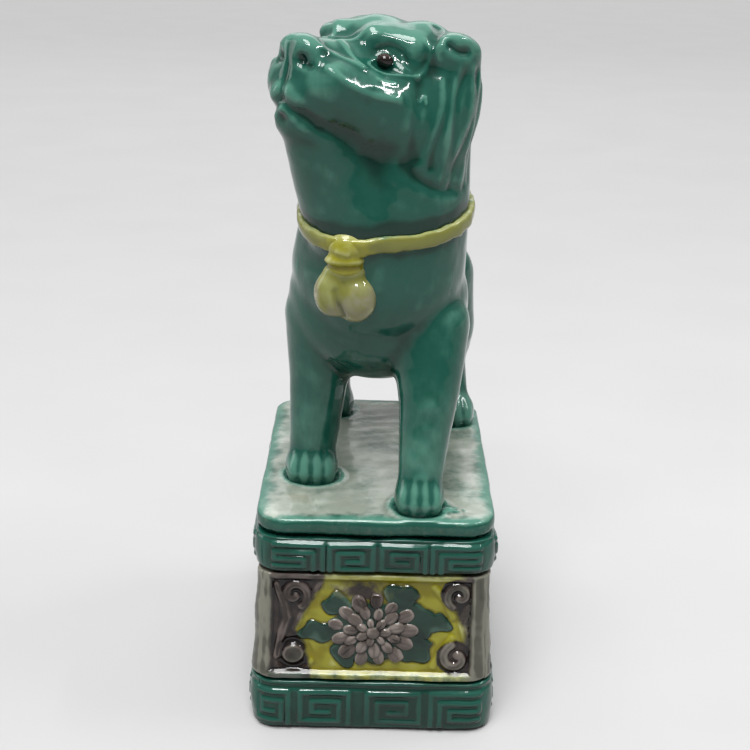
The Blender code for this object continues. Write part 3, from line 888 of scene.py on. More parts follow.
@dataclass
class Dog:
    """The whole figure, worked as one skin and then parted at its joints."""

    masses: DogMasses = field(default_factory=DogMasses)
    modelling: DogModelling = field(default_factory=DogModelling)
    head_at: Point = (-2.2, -17.0, 101.5)
    head_turn: float = -45.0
    head_lift: float = -18.0
    cell: float = 0.5 * MM
    rounds: int = 12
    leg_split: float = 4.0 * MM
    collar_lean: float = 14.0
    jaw_shade: tuple[Point, ...] = (
        (1.0, -24.0, -14.0),
        (6.0, -20.5, -15.5),
        (10.5, -15.0, -16.5),
        (15.0, -8.0, -16.5),
        (18.0, -1.0, -16.0),
    )

    @property
    def stand(self) -> Matrix:
        """Frame on the deck, in millimetres."""
        return Matrix.Translation((0.0, 0.0, DECK_TOP)) @ IN_MM

    @property
    def head(self) -> Matrix:
        """The head's frame, in millimetres: x to its left, -y ahead, z up."""
        turn = Matrix.Rotation(math.radians(self.head_turn), 4, "Z")
        lift = Matrix.Rotation(math.radians(self.head_lift), 4, "X")
        return self.stand @ Matrix.Translation(self.head_at) @ turn @ lift

    @property
    def leg_top(self) -> float:
        """Height of the legs' joint plane."""
        return (high("foreleg_left").z + low("torso_left").z) / 2.0

    def rough(self) -> Clay:
        """The figure before any modelling of its details."""
        form = bmesh.new()
        for middle, half in (*self.masses.body, *self.masses.paws):
            ball(form, middle, half, self.stand)
        for points in self.masses.limbs:
            limb(form, points, self.stand)
        for middle in self.toes():
            ball(form, middle, self.masses.toe, self.stand, 3)
        for middle, half in self.masses.head_middle:
            ball(form, middle, half, self.head)
        for middle, half in self.masses.head_pairs:
            for side in BOTH_SIDES:
                ball(form, mirrored(middle, side), half, self.head)
        for points in self.masses.head_limbs:
            limb(form, points, self.head)
        for points in self.masses.head_limb_pairs:
            for side in BOTH_SIDES:
                limb(form, [(mirrored(at, side), wide) for at, wide in points], self.head)
        return Clay.melted(form, self.cell, self.rounds)

    def toes(self) -> list[Point]:
        """Middles of the toes round the front of every paw."""
        made = []
        for (x, y, z), half in self.masses.paws:
            for share in self.masses.toe_shares:
                ahead = y - (half[1] - 2.2) * math.sqrt(1.0 - 0.7 * share**2)
                made.append((x + share * (half[0] - 1.2), ahead, z - self.masses.toe_drop))
        return made

    def paw_strokes(self) -> list[Stroke]:
        """Grooves between the toes and a nail's tip on each."""
        made = []
        for (x, y, z), half in self.masses.paws:
            for share in self.masses.gap_shares:
                across = x + share * (half[0] - 0.6)
                ahead = y - half[1] * math.sqrt(1.0 - share**2)
                path = (
                    (x + share * half[0] * 0.85, ahead + 2.2, z + half[2] * 0.78),
                    (across, ahead + 0.3, z + 1.6),
                    (across, ahead, z - 2.4),
                )
                made.append(Stroke(path, 0.95, -0.3, False))
        for across, ahead, up in self.toes():
            made.append(Stroke(((across, ahead - 2.8, up + 0.4),), 1.2, 0.3, False))
        return made

    def modelled(self) -> Clay:
        """The figure with every detail worked in."""
        clay = self.rough()
        clay.push(0.16 * MM * ripples(clay.spots, 17.0, 3))
        work(clay, self.modelling.broad, self.head)
        work(clay, [*self.modelling.middle, *self.modelling.lock_strokes()], self.head)
        work(clay, self.paw_strokes(), self.stand)
        clay.relax(2, np.full(len(clay.spots), 0.5))
        work(clay, self.modelling.fine, self.head)
        clay.push(0.03 * MM * ripples(clay.spots, 5.0, 8))
        # Painted shade along the collar and under the jaw is added to the glaze's depth.
        store_pool(clay, extra=self.shadows(clay))
        return clay

    def shadows(self, clay: Clay) -> Array:
        """Painted shade along the collar, above and below it, where glaze also gathers, and painted shade
        under the jaw.
        """
        spot, normal = self.collar_plane()
        above = (clay.spots - np.array(spot)) @ np.array(normal) / MM
        run = 1.0 + 0.35 * ripples(clay.spots, 12.0, 19)
        # Painted shade: a broad dark band above the collar and a thin one below it.
        ring = 0.6 * hump(above - 3.0, 2.3 * run) + 0.2 * hump(above + 2.8, 1.2)
        line = np.array([self.head @ Vector(at) for at in self.jaw_shade])
        return ring + 0.27 * hump(clay.reach(line), 5.0 * MM)

    def collar_plane(self) -> tuple[Vector, Vector]:
        """A point on the collar's plane and the plane's upward normal."""
        lean = math.radians(self.collar_lean)
        return (low("collar") + high("collar")) / 2.0, Vector((0.0, -math.sin(lean), math.cos(lean)))

    def build(self, green: Material) -> Clay:
        """Part the figure at its joints and show its pieces.

        Args:
            green: The glaze they share.

        Returns:
            The whole skin, for what is laid on it.
        """
        clay = self.modelled()
        spot, normal = self.collar_plane()
        head = parted(clay.mesh, [(spot, normal)])
        show("head_skin", head, green, ("head", "ear_left", "ear_right"))
        seat = UP * self.leg_top
        trunk = parted(clay.mesh, [(spot, -normal), (seat, UP)])
        show("torso_skin", trunk, green, ("torso_left", "torso_right"))
        legs = parted(clay.mesh, [(seat, -UP), (UP * (DECK_TOP - 0.1 * MM), UP)])
        for pair, back in (("foreleg", -1.0), ("hindleg", 1.0)):
            for label, across in (("left", 1.0), ("right", -1.0)):
                self.leg(legs, f"{pair}_{label}", across, back, green)
        return clay

    def leg(self, legs: Mesh, name: str, across: float, back: float, green: Material) -> None:
        """Show one leg on its own.

        Args:
            legs: All four.
            name: The leg's name.
            across: 1 for the dog's left side, -1 for its right.
            back: 1 for a hind leg, -1 for a foreleg.
            green: Its glaze.
        """
        form = bmesh.new()
        form.from_mesh(legs)
        away = []
        for point in form.verts:
            if point.co.x * across < 0.0 or (point.co.y - self.leg_split) * back < 0.0:
                away.append(point)
        bmesh.ops.delete(form, geom=away, context="VERTS")
        show(f"{name}_skin", to_mesh(form, name), green, (name,))


def parted(mesh: Mesh, planes: Sequence[tuple[Vector, Vector]]) -> Mesh:
    """A copy that keeps the side each plane's normal points to, closed where it is cut.

    Args:
        mesh: The whole skin.
        planes: A point and a normal for each.

    Returns:
        The part.
    """
    form = bmesh.new()
    form.from_mesh(mesh)
    for spot, normal in planes:
        geom = [*form.verts, *form.edges, *form.faces]
        cut = bmesh.ops.bisect_plane(form, geom=geom, plane_co=spot, plane_no=normal, clear_inner=True)
        edges = [item for item in cut["geom_cut"] if isinstance(item, bmesh.types.BMEdge)]
        bmesh.ops.holes_fill(form, edges=edges, sides=0)
    return to_mesh(form, "part")


@dataclass
class Eyes:
    """Two pellets of black glaze under the lids."""

    at: Point = (11.4, -11.4, 5.8)
    half: Point = (2.0, 1.9, 1.6)

    def build(self, dog: Dog) -> None:
        """Set both eyes in the head."""
        for label, side in (("left", 1.0), ("right", -1.0)):
            form = bmesh.new()
            turn = Matrix.Rotation(math.radians(side * 40.0), 4, "Z")
            place = dog.head @ Matrix.Translation(mirrored(self.at, side)) @ turn
            ball(form, (0.0, 0.0, 0.0), self.half, place, 5)
            clay = Clay(to_mesh(form, "eye"))
            store_pool(clay, 0.3, 2)
            show(f"eye_{label}_pellet", clay.mesh, BLACK.plain(), (f"eye_{label}",))


@dataclass
class Collar:
    """The band round the neck, with its tie and bell."""

    half_height: float = 2.15 * MM
    thick: float = 1.5 * MM
    sink: float = 0.5 * MM
    knot_masses: tuple[Mass, ...] = (
        ((-8.5, -35.4, 127.7), (4.6, 3.7, 3.9)),
        ((-9.0, -35.6, 124.3), (5.0, 3.4, 1.7)),
        ((-8.7, -35.2, 122.6), (4.6, 3.0, 2.6)),
    )
    bell_masses: tuple[Mass, ...] = (
        ((-8.8, -34.2, 121.4), (5.4, 3.4, 2.6)),
        ((-11.8, -34.4, 115.8), (4.6, 4.0, 6.0)),
        ((-6.2, -34.6, 114.6), (5.2, 4.4, 6.0)),
    )

    def band(self, clay: Clay, dog: Dog) -> None:
        """Lay the band on the skin of the neck."""
        spot, normal = dog.collar_plane()
        form = bmesh.new()
        form.from_mesh(clay.mesh)
        for way in BOTH_SIDES:
            edge = spot - normal * way * self.half_height
            geom = [*form.verts, *form.edges, *form.faces]
            bmesh.ops.bisect_plane(form, geom=geom, plane_co=edge, plane_no=normal * way, clear_inner=True)
        bmesh.ops.smooth_vert(form, verts=form.verts, factor=0.5, use_axis_x=True, use_axis_y=True)
        bmesh.ops.recalc_face_normals(form, faces=form.faces)
        for point in form.verts:
            point.co -= point.normal * self.sink
        bmesh.ops.solidify(form, geom=form.faces, thickness=-(self.thick + self.sink))
        ring = Clay.melted(form, 0.4 * MM, 6)
        ring.push(0.12 * MM * ripples(ring.spots, 9.0, 21))
        store_pool(ring, 0.6, 4)
        height = (ring.spots - np.array(spot)) @ np.array(normal) / self.half_height
        shadow = smooth_step(0.75, 1.15, height) * 0.7
        bright = hump(ring.spots[:, 0] + 8.6 * MM, 7.0 * MM) * (ring.spots[:, 1] < -20.0 * MM)
        store_paint(ring.mesh, shadow, bright * 0.8)
        finish = brushed(OLIVE, (GREEN, YELLOW), "collar glaze", 0.3)
        show("collar_band", ring.mesh, finish, ("collar",))

    def tie(self) -> None:
        """The tied loop that carries the bell."""
        knot = Clay.pressed(self.knot_masses, 0.3 * MM, 5)
        strokes = (
            Stroke(((-13.4, -36.4, 122.8), (-9.0, -39.0, 122.3), (-4.8, -36.4, 122.8)), 1.1, -0.45, False),
            Stroke(((-10.6, -38.6, 127.0), (-8.4, -39.0, 126.2)), 0.9, 0.3, False),
        )
        work(knot, strokes, IN_MM)
        seam = 0.3 * hump(knot.spots[:, 2] / MM - 122.4, 1.6)
        store_pool(knot, 1.0, 8, 0.4, seam)
        show("bell_tie", knot.mesh, YELLOW.plain(), ("bell_knot",))

    def bell(self) -> None:
        """A pellet bell with a slit, pressed against the chest."""
        bell = Clay.pressed(self.bell_masses, 0.35 * MM, 8)
        strokes = (
            Stroke(((-10.9, -39.2, 117.4), (-10.3, -39.4, 114.0), (-9.4, -38.4, 109.6)), 0.95, -0.5, False),
            Stroke(((-15.4, -36.4, 115.4), (-13.2, -37.4, 111.4), (-10.6, -37.6, 109.8)), 0.8, 0.3, False),
            Stroke(((-8.0, -38.4, 109.6), (-4.6, -38.4, 109.2), (-2.4, -36.8, 112.4)), 0.8, 0.3, False),
        )
        work(bell, strokes, IN_MM)
        store_pool(bell, 1.0, 8)
        across, _, height = bell.spots.T / MM
        wash = smooth_step(119.5, 112.5, height - 0.5 * (across + 8.8) + ripples(bell.spots, 6.0, 5))
        store_paint(bell.mesh, wash * 0.55, 0.8 * hump(across + 16.0, 1.2))
        finish = brushed(OLIVE, (BISQUE, BISQUE), "bell glaze", 0.45)
        show("bell_body", bell.mesh, finish, ("bell",))

    def build(self, clay: Clay, dog: Dog) -> None:
        """Make the band, the tie and the bell."""
        self.band(clay, dog)
        self.tie()
        self.bell()


@dataclass
class Tail:
    """A tail curled up on the rump, combed into locks."""

    turns: float = 1.1
    coil: Pair = (9.0, 3.4)
    wide: Pair = (4.6, 3.0)
    balls: int = 40
    combed: Point = (-1.6, 0.0, 1.6)
    comb: Pair = (0.7, -0.7)

    def build(self, green: Material) -> None:
        """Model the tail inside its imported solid.

        Args:
            green: Its glaze.
        """
        middle = (low("tail") + high("tail")) / 2.0 / MM
        form = bmesh.new()
        line = []
        for step in range(self.balls):
            share = step / (self.balls - 1)
            angle = math.tau * self.turns * share - math.pi / 2.0
            coil = self.coil[0] + (self.coil[1] - self.coil[0]) * share
            rise = math.sin(angle) * coil
            spot = (middle[0] + math.cos(angle) * coil, middle[1] - 0.6 - 0.2 * rise, middle[2] + rise)
            radius = self.wide[0] + (self.wide[1] - self.wide[0]) * share
            ball(form, spot, (radius, radius, radius), IN_MM, 3)
            line.append(spot)
        clay = Clay.melted(form, 0.45 * MM, 8)
        strokes = []
        back = Vector((0.0, 1.0, 0.0))
        for offset in self.combed:
            path = []
            for index in range(2, self.balls - 2, 4):
                here, after = Vector(line[index]), Vector(line[index + 1])
                side = (after - here).normalized().cross(back).normalized()
                path.append(tuple(here + side * offset + back * 6.0))
            strokes.append(Stroke(tuple(path), *self.comb, False))
        work(clay, strokes, IN_MM)
        store_pool(clay)
        show("tail_curl", clay.mesh, green, ("tail",))


# Plinth


@dataclass
class Slab:
    """One side of a frame of clay slabs, from mitre to mitre.

    Args:
        side: Which side of the plinth.
        half: Half width and half depth of the frame at its foot, in millimetres.
        rise: Lowest and highest height, in millimetres.
        lean: How far the top lies inside the foot.
        corner: Radius of the plan's corners.
        edge: Radius of the long edges.
        ledge: How far the surface runs in over the top and bottom.
        fine: Size of a cell of the surface.
        slab: Thickness of the clay.
    """

    side: Side
    half: Pair
    rise: Pair
    lean: float = 0.0
    corner: float = 7.5
    edge: float = 1.1
    ledge: float = 3.0
    fine: float = 0.36
    slab: float = 5.4

    @property
    def spread(self) -> Pair:
        """Half length of this side and its distance from the middle."""
        if self.side in (Side.FRONT, Side.BACK):
            return self.half
        return self.half[1], self.half[0]

    @property
    def reach(self) -> float:
        """Half the way along the outline, from the middle to a mitre."""
        return self.spread[0] - self.corner + self.corner * math.pi / 4.0

    def outline(self, along: Array) -> tuple[Array, Array]:
        """Point and outward direction at each distance along the outline.

        Args:
            along: Distances from the side's middle.

        Returns:
            Points and directions, two columns each, for a side that faces -y.
        """
        wide, deep = self.spread
        flat = wide - self.corner
        angle = np.clip((np.abs(along) - flat) / self.corner, 0.0, None) * np.sign(along)
        out = np.stack([np.sin(angle), -np.cos(angle)], axis=1)
        centre = np.stack([np.clip(along, -flat, flat), np.full_like(along, self.corner - deep)], axis=1)
        return centre + out * self.corner, out

    def profile(self, share: Array) -> tuple[Array, Array, Array]:
        """Inset, height and tilt at each share of the way over the slab's face.

        Args:
            share: 0 under the slab to 1 on top of it.

        Returns:
            Inset, height, and the angle of the surface above level.
        """
        tall = self.rise[1] - self.rise[0]
        run = self.ledge - self.edge
        bend = self.edge * math.pi / 2.0
        stops = np.cumsum([0.0, run, bend, tall - 2.0 * self.edge, bend, run])
        way = share * stops[-1]
        turn = np.clip((way - stops[1]) / bend, 0.0, 1.0) + np.clip((way - stops[3]) / bend, 0.0, 1.0)
        angle = (turn - 1.0) * math.pi / 2.0
        inset = self.edge * (1.0 - np.cos(angle))
        inset += np.clip(stops[1] - way, 0.0, None) + np.clip(way - stops[4], 0.0, None)
        height = self.rise[0] + self.edge + np.clip(way - stops[2], 0.0, stops[3] - stops[2])
        height += self.edge * np.sin(angle)
        inset += self.lean * (height - self.rise[0]) / tall
        return inset, height, angle

    def surface(self) -> tuple[Form, Array, Array, Array]:
        """The slab's outer surface before its relief.

        Returns:
            The form, and each point's distance along, height, and share of the face's own facing.
        """
        tall = self.rise[1] - self.rise[0] + 2.0 * self.ledge
        form = bmesh.new()
        columns, rows = round(2.0 * self.reach / self.fine), round(tall / self.fine)
        bmesh.ops.create_grid(form, x_segments=columns, y_segments=rows, size=0.5)
        flat = points_of(form)
        along = flat[:, 0] * 2.0 * self.reach
        inset, height, angle = self.profile(flat[:, 1] + 0.5)
        spots, out = self.outline(along)
        spots = spots - out * inset[:, None]
        for point, plan, level in zip(form.verts, spots, height):
            point.co = (plan[0] * MM, plan[1] * MM, level * MM)
        return form, along, height, np.cos(angle)

    def solid(self, amount: Array, form: Form) -> Clay:
        """Raise the relief and give the slab its thickness.

        Args:
            amount: Relief of each point, in millimetres.
            form: The surface.

        Returns:
            The closed slab, turned to its side.
        """
        bmesh.ops.recalc_face_normals(form, faces=form.faces)
        form.faces.ensure_lookup_table()
        middle = form.faces[len(form.faces) // 2]
        if middle.normal.y > 0.0:
            bmesh.ops.reverse_faces(form, faces=form.faces)
        form.normal_update()
        moves = [point.normal * float(step) * MM for point, step in zip(form.verts, amount)]
        for point, move in zip(form.verts, moves):
            point.co += move
        wide, deep = self.spread
        shrink = (wide - self.slab) / (wide - self.corner + self.corner * math.sin(math.pi / 4.0))
        for point in skirted(form):
            share = (point.co.z / MM - self.rise[0]) / (self.rise[1] - self.rise[0])
            lean = self.lean * share
            point.co.x *= shrink
            limit = (wide - self.slab - lean) * MM
            point.co.x = max(-limit, min(limit, point.co.x))
            point.co.y = -(deep - self.slab - lean) * MM
        bmesh.ops.remove_doubles(form, verts=form.verts, dist=0.002 * MM)
        bmesh.ops.holes_fill(form, edges=rim_of(form), sides=0)
        bmesh.ops.transform(form, matrix=self.side.turn, verts=form.verts)
        return Clay(to_mesh(form, "slab"))


def plinth_size(label: str) -> tuple[Pair, Pair]:
    """A frame of four slabs: its half width and half depth, then its lowest and highest height."""
    front, top = low(f"{label}_front"), high(f"{label}_front").z
    return (-low(f"{label}_right").x / MM, -front.y / MM), (front.z / MM, top / MM)


def trace(path: Sequence[Pair], across: Array, up: Array) -> Array:
    """Distance of each point of a face from a drawn line.

    Args:
        path: The line's points.
        across: Distances along the face.
        up: Heights on the face.

    Returns:
        The distances.
    """
    best = np.full(len(across), FAR)
    for (x0, y0), (x1, y1) in zip(path[:-1], path[1:]):
        run_x, run_y = x1 - x0, y1 - y0
        length = max(run_x**2 + run_y**2, 1e-9)
        share = np.clip(((across - x0) * run_x + (up - y0) * run_y) / length, 0.0, 1.0)
        best = np.minimum(best, np.hypot(across - x0 - share * run_x, up - y0 - share * run_y))
    return best


def blob(across: Array, up: Array, at: Pair, half: Pair, turn: float = 0.0) -> Array:
    """A soft-edged oval: 1 inside and 0 outside.

    Args:
        across: Distances along the face.
        up: Heights on the face.
        at: Its middle.
        half: Its half sizes.
        turn: Its turn in degrees.

    Returns:
        One value for each point.
    """
    angle = math.radians(turn)
    here = (across - at[0]) * math.cos(angle) + (up - at[1]) * math.sin(angle)
    there = (up - at[1]) * math.cos(angle) - (across - at[0]) * math.sin(angle)
    return smooth_step(1.12, 0.84, np.hypot(here / half[0], there / half[1]))


def coil(at: Pair, wide: float, turns: float, start: float, hand: float) -> list[Pair]:
    """A spiral drawn inwards.

    Args:
        at: Its middle.
        wide: Its outer radius.
        turns: How often it goes round.
        start: Where it starts, in degrees.
        hand: 1 to wind left, -1 to wind right.

    Returns:
        Its points.
    """
    made = []
    for step in range(COIL_STEPS):
        share = step / (COIL_STEPS - 1)
        angle = math.radians(start) + hand * math.tau * turns * share
        reach = wide * (1.0 - COIL_CLOSES * share)
        made.append((at[0] + reach * math.cos(angle), at[1] + reach * math.sin(angle)))
    return made


class Key(Enum):
    """The two meanders of the fret, drawn in a unit square."""

    HOOK = (
        ((0.04, 0.95), (0.97, 0.95), (0.97, 0.02)),
        ((0.80, 0.02), (0.80, 0.70), (0.06, 0.70), (0.06, 0.46), (0.62, 0.46), (0.62, 0.20), (0.06, 0.20)),
    )
    SPIRAL = (
        (
            (0.04, 0.02),
            (0.04, 0.93),
            (0.96, 0.93),
            (0.96, 0.10),
            (0.22, 0.10),
            (0.22, 0.68),
            (0.74, 0.68),
            (0.74, 0.36),
            (0.42, 0.36),
        ),
    )


Unit = tuple[Key, float, float, bool]


@dataclass
class FretBand:
    """A band of four slabs with a raised key fret.

    Args:
        label: Name of its nodes before the side.
        units: Keys on a short side: kind, middle, width and whether mirrored.
        fret: Lowest and highest height of the keys.
        ledge: How far its top runs in.
        line: Half width of the keys' lines.
        raised: How far they stand out.
        groove: Depth of the groove above them.
        bulge: How far the band swells halfway up.
        sunk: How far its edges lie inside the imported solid.
        overlap: How far it runs up into what stands on it.
    """

    label: str
    units: tuple[Unit, ...]
    fret: Pair
    ledge: float
    line: float = 0.62
    raised: float = 0.62
    groove: float = 0.3
    bulge: float = 0.6
    sunk: float = 0.75
    overlap: float = 0.25

    def keys(self, side: Side) -> tuple[Unit, ...]:
        """The keys of one side; the long sides have six."""
        if side in (Side.FRONT, Side.BACK):
            return self.units
        made = []
        for index in range(6):
            kind = Key.HOOK if index in (0, 5) else Key.SPIRAL
            made.append((kind, (index - 2.5) * 12.6, 11.2, index > 2))
        return tuple(made)

    def relief(self, side: Side, along: Array, height: Array) -> Array:
        """Height of the fret at each point, 0 to 1."""
        base, top = self.fret
        nearest = np.full(len(along), FAR)
        for kind, middle, wide, mirrored in self.keys(side):
            for path in kind.value:
                drawn = []
                for across, up in path:
                    across = 1.0 - across if mirrored else across
                    drawn.append((middle + (across - 0.5) * wide, base + up * (top - base)))
                nearest = np.minimum(nearest, trace(drawn, along, height))
        return smooth_step(self.line + 0.32, self.line - 0.30, nearest)

    def build(self, finish: Material) -> None:
        """Make the band's four slabs.

        Args:
            finish: The glaze they share.
        """
        half, (foot, top) = plinth_size(self.label)
        for side in Side:
            node = f"{self.label}_{side.label}"
            slab = Slab(side, half, (foot, top + self.overlap), ledge=self.ledge)
            form, along, height, facing = slab.surface()
            raised = self.relief(side, along, height) * facing
            groove = smooth_step(0.9, 0.2, np.abs(height - self.fret[1] - 0.9)) * facing
            spots = points_of(form)
            sway = ripples(spots, 16.0, 31 + len(node)) * 0.22 + ripples(spots, 5.0, 12) * 0.05
            tall = slab.rise[1] - slab.rise[0]
            bulge = np.sin(np.clip((height - slab.rise[0]) / tall, 0.0, 1.0) * math.pi) * facing
            worn = 0.75 + 0.25 * ripples(spots, 11.0, 5 + len(node))
            amount = raised * self.raised * worn - groove * self.groove + sway
            clay = slab.solid(amount + bulge * self.bulge - self.sunk, form)
            store_pool(clay, 0.7, 8, 0.7)
            show(f"{node}_slab", clay.mesh, finish, (node,))


@dataclass
class Wall:
    """The battered wall, with a relief panel on each side."""

    field_half: float = 25.6
    post_edge: float = 1.2
    sunk: float = 1.3
    boss: Pair = (-20.4, 21.8)
    edge_heights: tuple[float, ...] = (16.0, 19.6, 24.0, 28.4, 31.0, 36.4, 42.0)
    edge_places: tuple[float, ...] = (-15.8, -16.4, -17.4, -19.8, -18.6, -15.8, -12.6)

    def scrolls(self, stretch: float) -> list[tuple[list[Pair], float, float]]:
        """Raised lines: path, half width and height."""
        left, right = -stretch, stretch
        stem = ((-25.0, 41.0), (-22.8, 36.0), (-22.0, 32.0), (-23.6, 27.0), (-24.8, 21.0))
        vein = ((-13.0, 43.0), (-15.4, 38.4), (-18.4, 33.0), (-20.0, 28.8))
        return [
            (coil((left - 20.2, 38.4), 3.8, 1.0, -60.0, 1.0), 1.0, 0.7),
            (coil((right + 21.8, 38.8), 3.6, 0.95, 240.0, -1.0), 1.0, 0.7),
            (coil((right + 21.4, 21.4), 3.9, 0.85, 110.0, 1.0), 1.1, 0.8),
            ([(left + across, up) for across, up in stem], 1.0, 0.6),
            ([(right + 24.2, 36.0), (right + 22.6, 31.0), (right + 24.2, 26.0)], 1.0, 0.4),
            ([(left + across, up) for across, up in vein], 0.7, 0.35),
            ([(left - 20.0, 28.8), (left - 17.4, 24.4), (left - 16.0, 19.4)], 0.7, 0.35),
            ([(right + 15.4, 41.0), (right + 18.6, 36.8), (right + 20.2, 32.6)], 0.7, 0.35),
            ([(right + 20.2, 27.0), (right + 17.2, 23.0), (right + 15.6, 18.8)], 0.7, 0.3),
        ]

    def leaves(self, stretch: float) -> list[tuple[Pair, Pair, float]]:
        """Leaf lobes: middle, half sizes and turn."""
        reach = 1.0 + stretch / 34.0
        return [
            ((-13.6 * reach, 28.0), (5.6 * reach, 3.0), 4.0),
            ((-9.4 * reach, 35.6), (3.8, 3.4), 25.0),
            ((-7.4 * reach, 21.6), (3.6, 3.6), -10.0),
            ((6.8 * reach, 37.6), (4.8, 4.2), -20.0),
            ((12.0 * reach, 31.6), (5.0, 4.6), -30.0),
            ((17.0 * reach, 30.8), (3.0, 2.8), 10.0),
            ((11.0 * reach, 23.6), (4.4, 4.4), 30.0),
            ((0.0, 28.0), (11.2, 8.8), 0.0),
        ]

    def cut(self, slab: Slab, along: Array, height: Array, stretch: float) -> tuple[Array, ...]:
        """Work out the relief and the glaze zones.

        Args:
            slab: The side being made.
            along: Distance of each point from the side's middle.
            height: Height of each point.
            stretch: How much longer this side's half is than the front's.

        Returns:
            Relief in millimetres, then where yellow, leaf green and cream lie.
        """
        inner = self.field_half + stretch
        posts = smooth_step(inner - 0.4, inner + self.post_edge, np.abs(along + 0.8))
        border = np.maximum(posts, smooth_step(41.8, 43.4, height) * 0.8)
        border = np.maximum(border, smooth_step(17.4, 16.2, height))
        relief = -self.sunk * (1.0 - border)
        ridge = np.zeros_like(along)
        for path, wide, rise in self.scrolls(stretch):
            mark = smooth_step(wide + 0.6, wide - 0.5, trace(path, along, height))
            ridge = np.maximum(ridge, mark)
            relief = np.maximum(relief, -self.sunk + mark * rise * (1.0 - border * 0.5))
        boss_at = (self.boss[0] - stretch, self.boss[1])
        boss = blob(along, height, boss_at, (2.9, 2.6), 20.0)
        ring = np.hypot((along - boss_at[0]) / 4.2, (height - boss_at[1]) / 3.9)
        relief += boss - 0.45 * hump(ring - 1.0, 0.2)
        leaf = np.zeros_like(along)
        dome = np.zeros_like(along)
        waved = along + 0.6 * np.sin(height * 1.1 + along * 0.5)
        raised = height + 0.55 * np.sin(along * 0.95 + 1.1)
        for at, size, turn in self.leaves(stretch):
            here = blob(waved, raised, at, size, turn)
            away = np.hypot((waved - at[0]) / size[0], (raised - at[1]) / size[1])
            dome = np.maximum(dome, here * (0.2 + 0.3 * np.sqrt(np.clip(1.0 - away**2, 0.0, 1.0))))
            leaf = np.maximum(leaf, here)
        rim = leaf * (1.0 - leaf) * 4.0
        relief += (dome - 0.25 * rim) * (1.0 - border)
        shade = hump(along + 3.0, 8.0) * hump(height - 39.4, 3.4)
        edge = np.interp(height, self.edge_heights, self.edge_places)
        ground = smooth_step(-1.6, 1.6, along + stretch - edge)
        right = smooth_step(20.2, 23.8, along - stretch - 1.2 * np.sin(height * 0.5))
        curl_high = blob(along, height, (21.6 + stretch, 39.2), (4.8, 4.6))
        curl_low = blob(along, height, (21.2 + stretch, 21.4), (5.0, 5.0))
        curls = np.maximum(curl_high, curl_low)
        foot = smooth_step(17.8, 16.2, height)
        yellow = ground * (1.0 - np.maximum(right * 0.8, curls)) * (1.0 - 0.9 * shade)
        yellow = np.maximum(yellow, foot * ground * 0.6)
        rings = ridge * (np.maximum(curls, right) * 0.3 + 0.14) + boss * 0.5
        cream = np.maximum(posts, rings * (1.0 - leaf))
        cream = np.maximum(cream, smooth_step(43.0, 43.9, height) * 0.3)
        cream = np.maximum(cream, right * 0.42 * (1.0 - curls))
        green = np.maximum(leaf * (1.0 - shade * 0.6), foot * 0.5)
        return relief, yellow, green, cream

    def build(self, finish: Material) -> None:
        """Make the four panels.

        Args:
            finish: The glazes they share.
        """
        half, rise = plinth_size("wall")
        for side in Side:
            node = f"wall_{side.label}"
            slab = Slab(side, half, rise, lean=WALL_BATTER, ledge=1.4, edge=0.5, fine=0.3)
            form, along, height, facing = slab.surface()
            stretch = slab.spread[0] - half[0]
            relief, *paint = self.cut(slab, along, height, stretch)
            spots = points_of(form)
            relief += ripples(spots, 14.0, 40 + len(node)) * 0.16 + ripples(spots, 4.0, 9) * 0.06
            clay = slab.solid(relief * facing, form)
            store_paint(clay.mesh, *paint)
            store_pool(clay, 1.6, 7, extra=0.24 * ripples(clay.spots, 8.0, 61 + len(node)) + 0.1)
            show(f"{node}_panel", clay.mesh, finish, (node,))


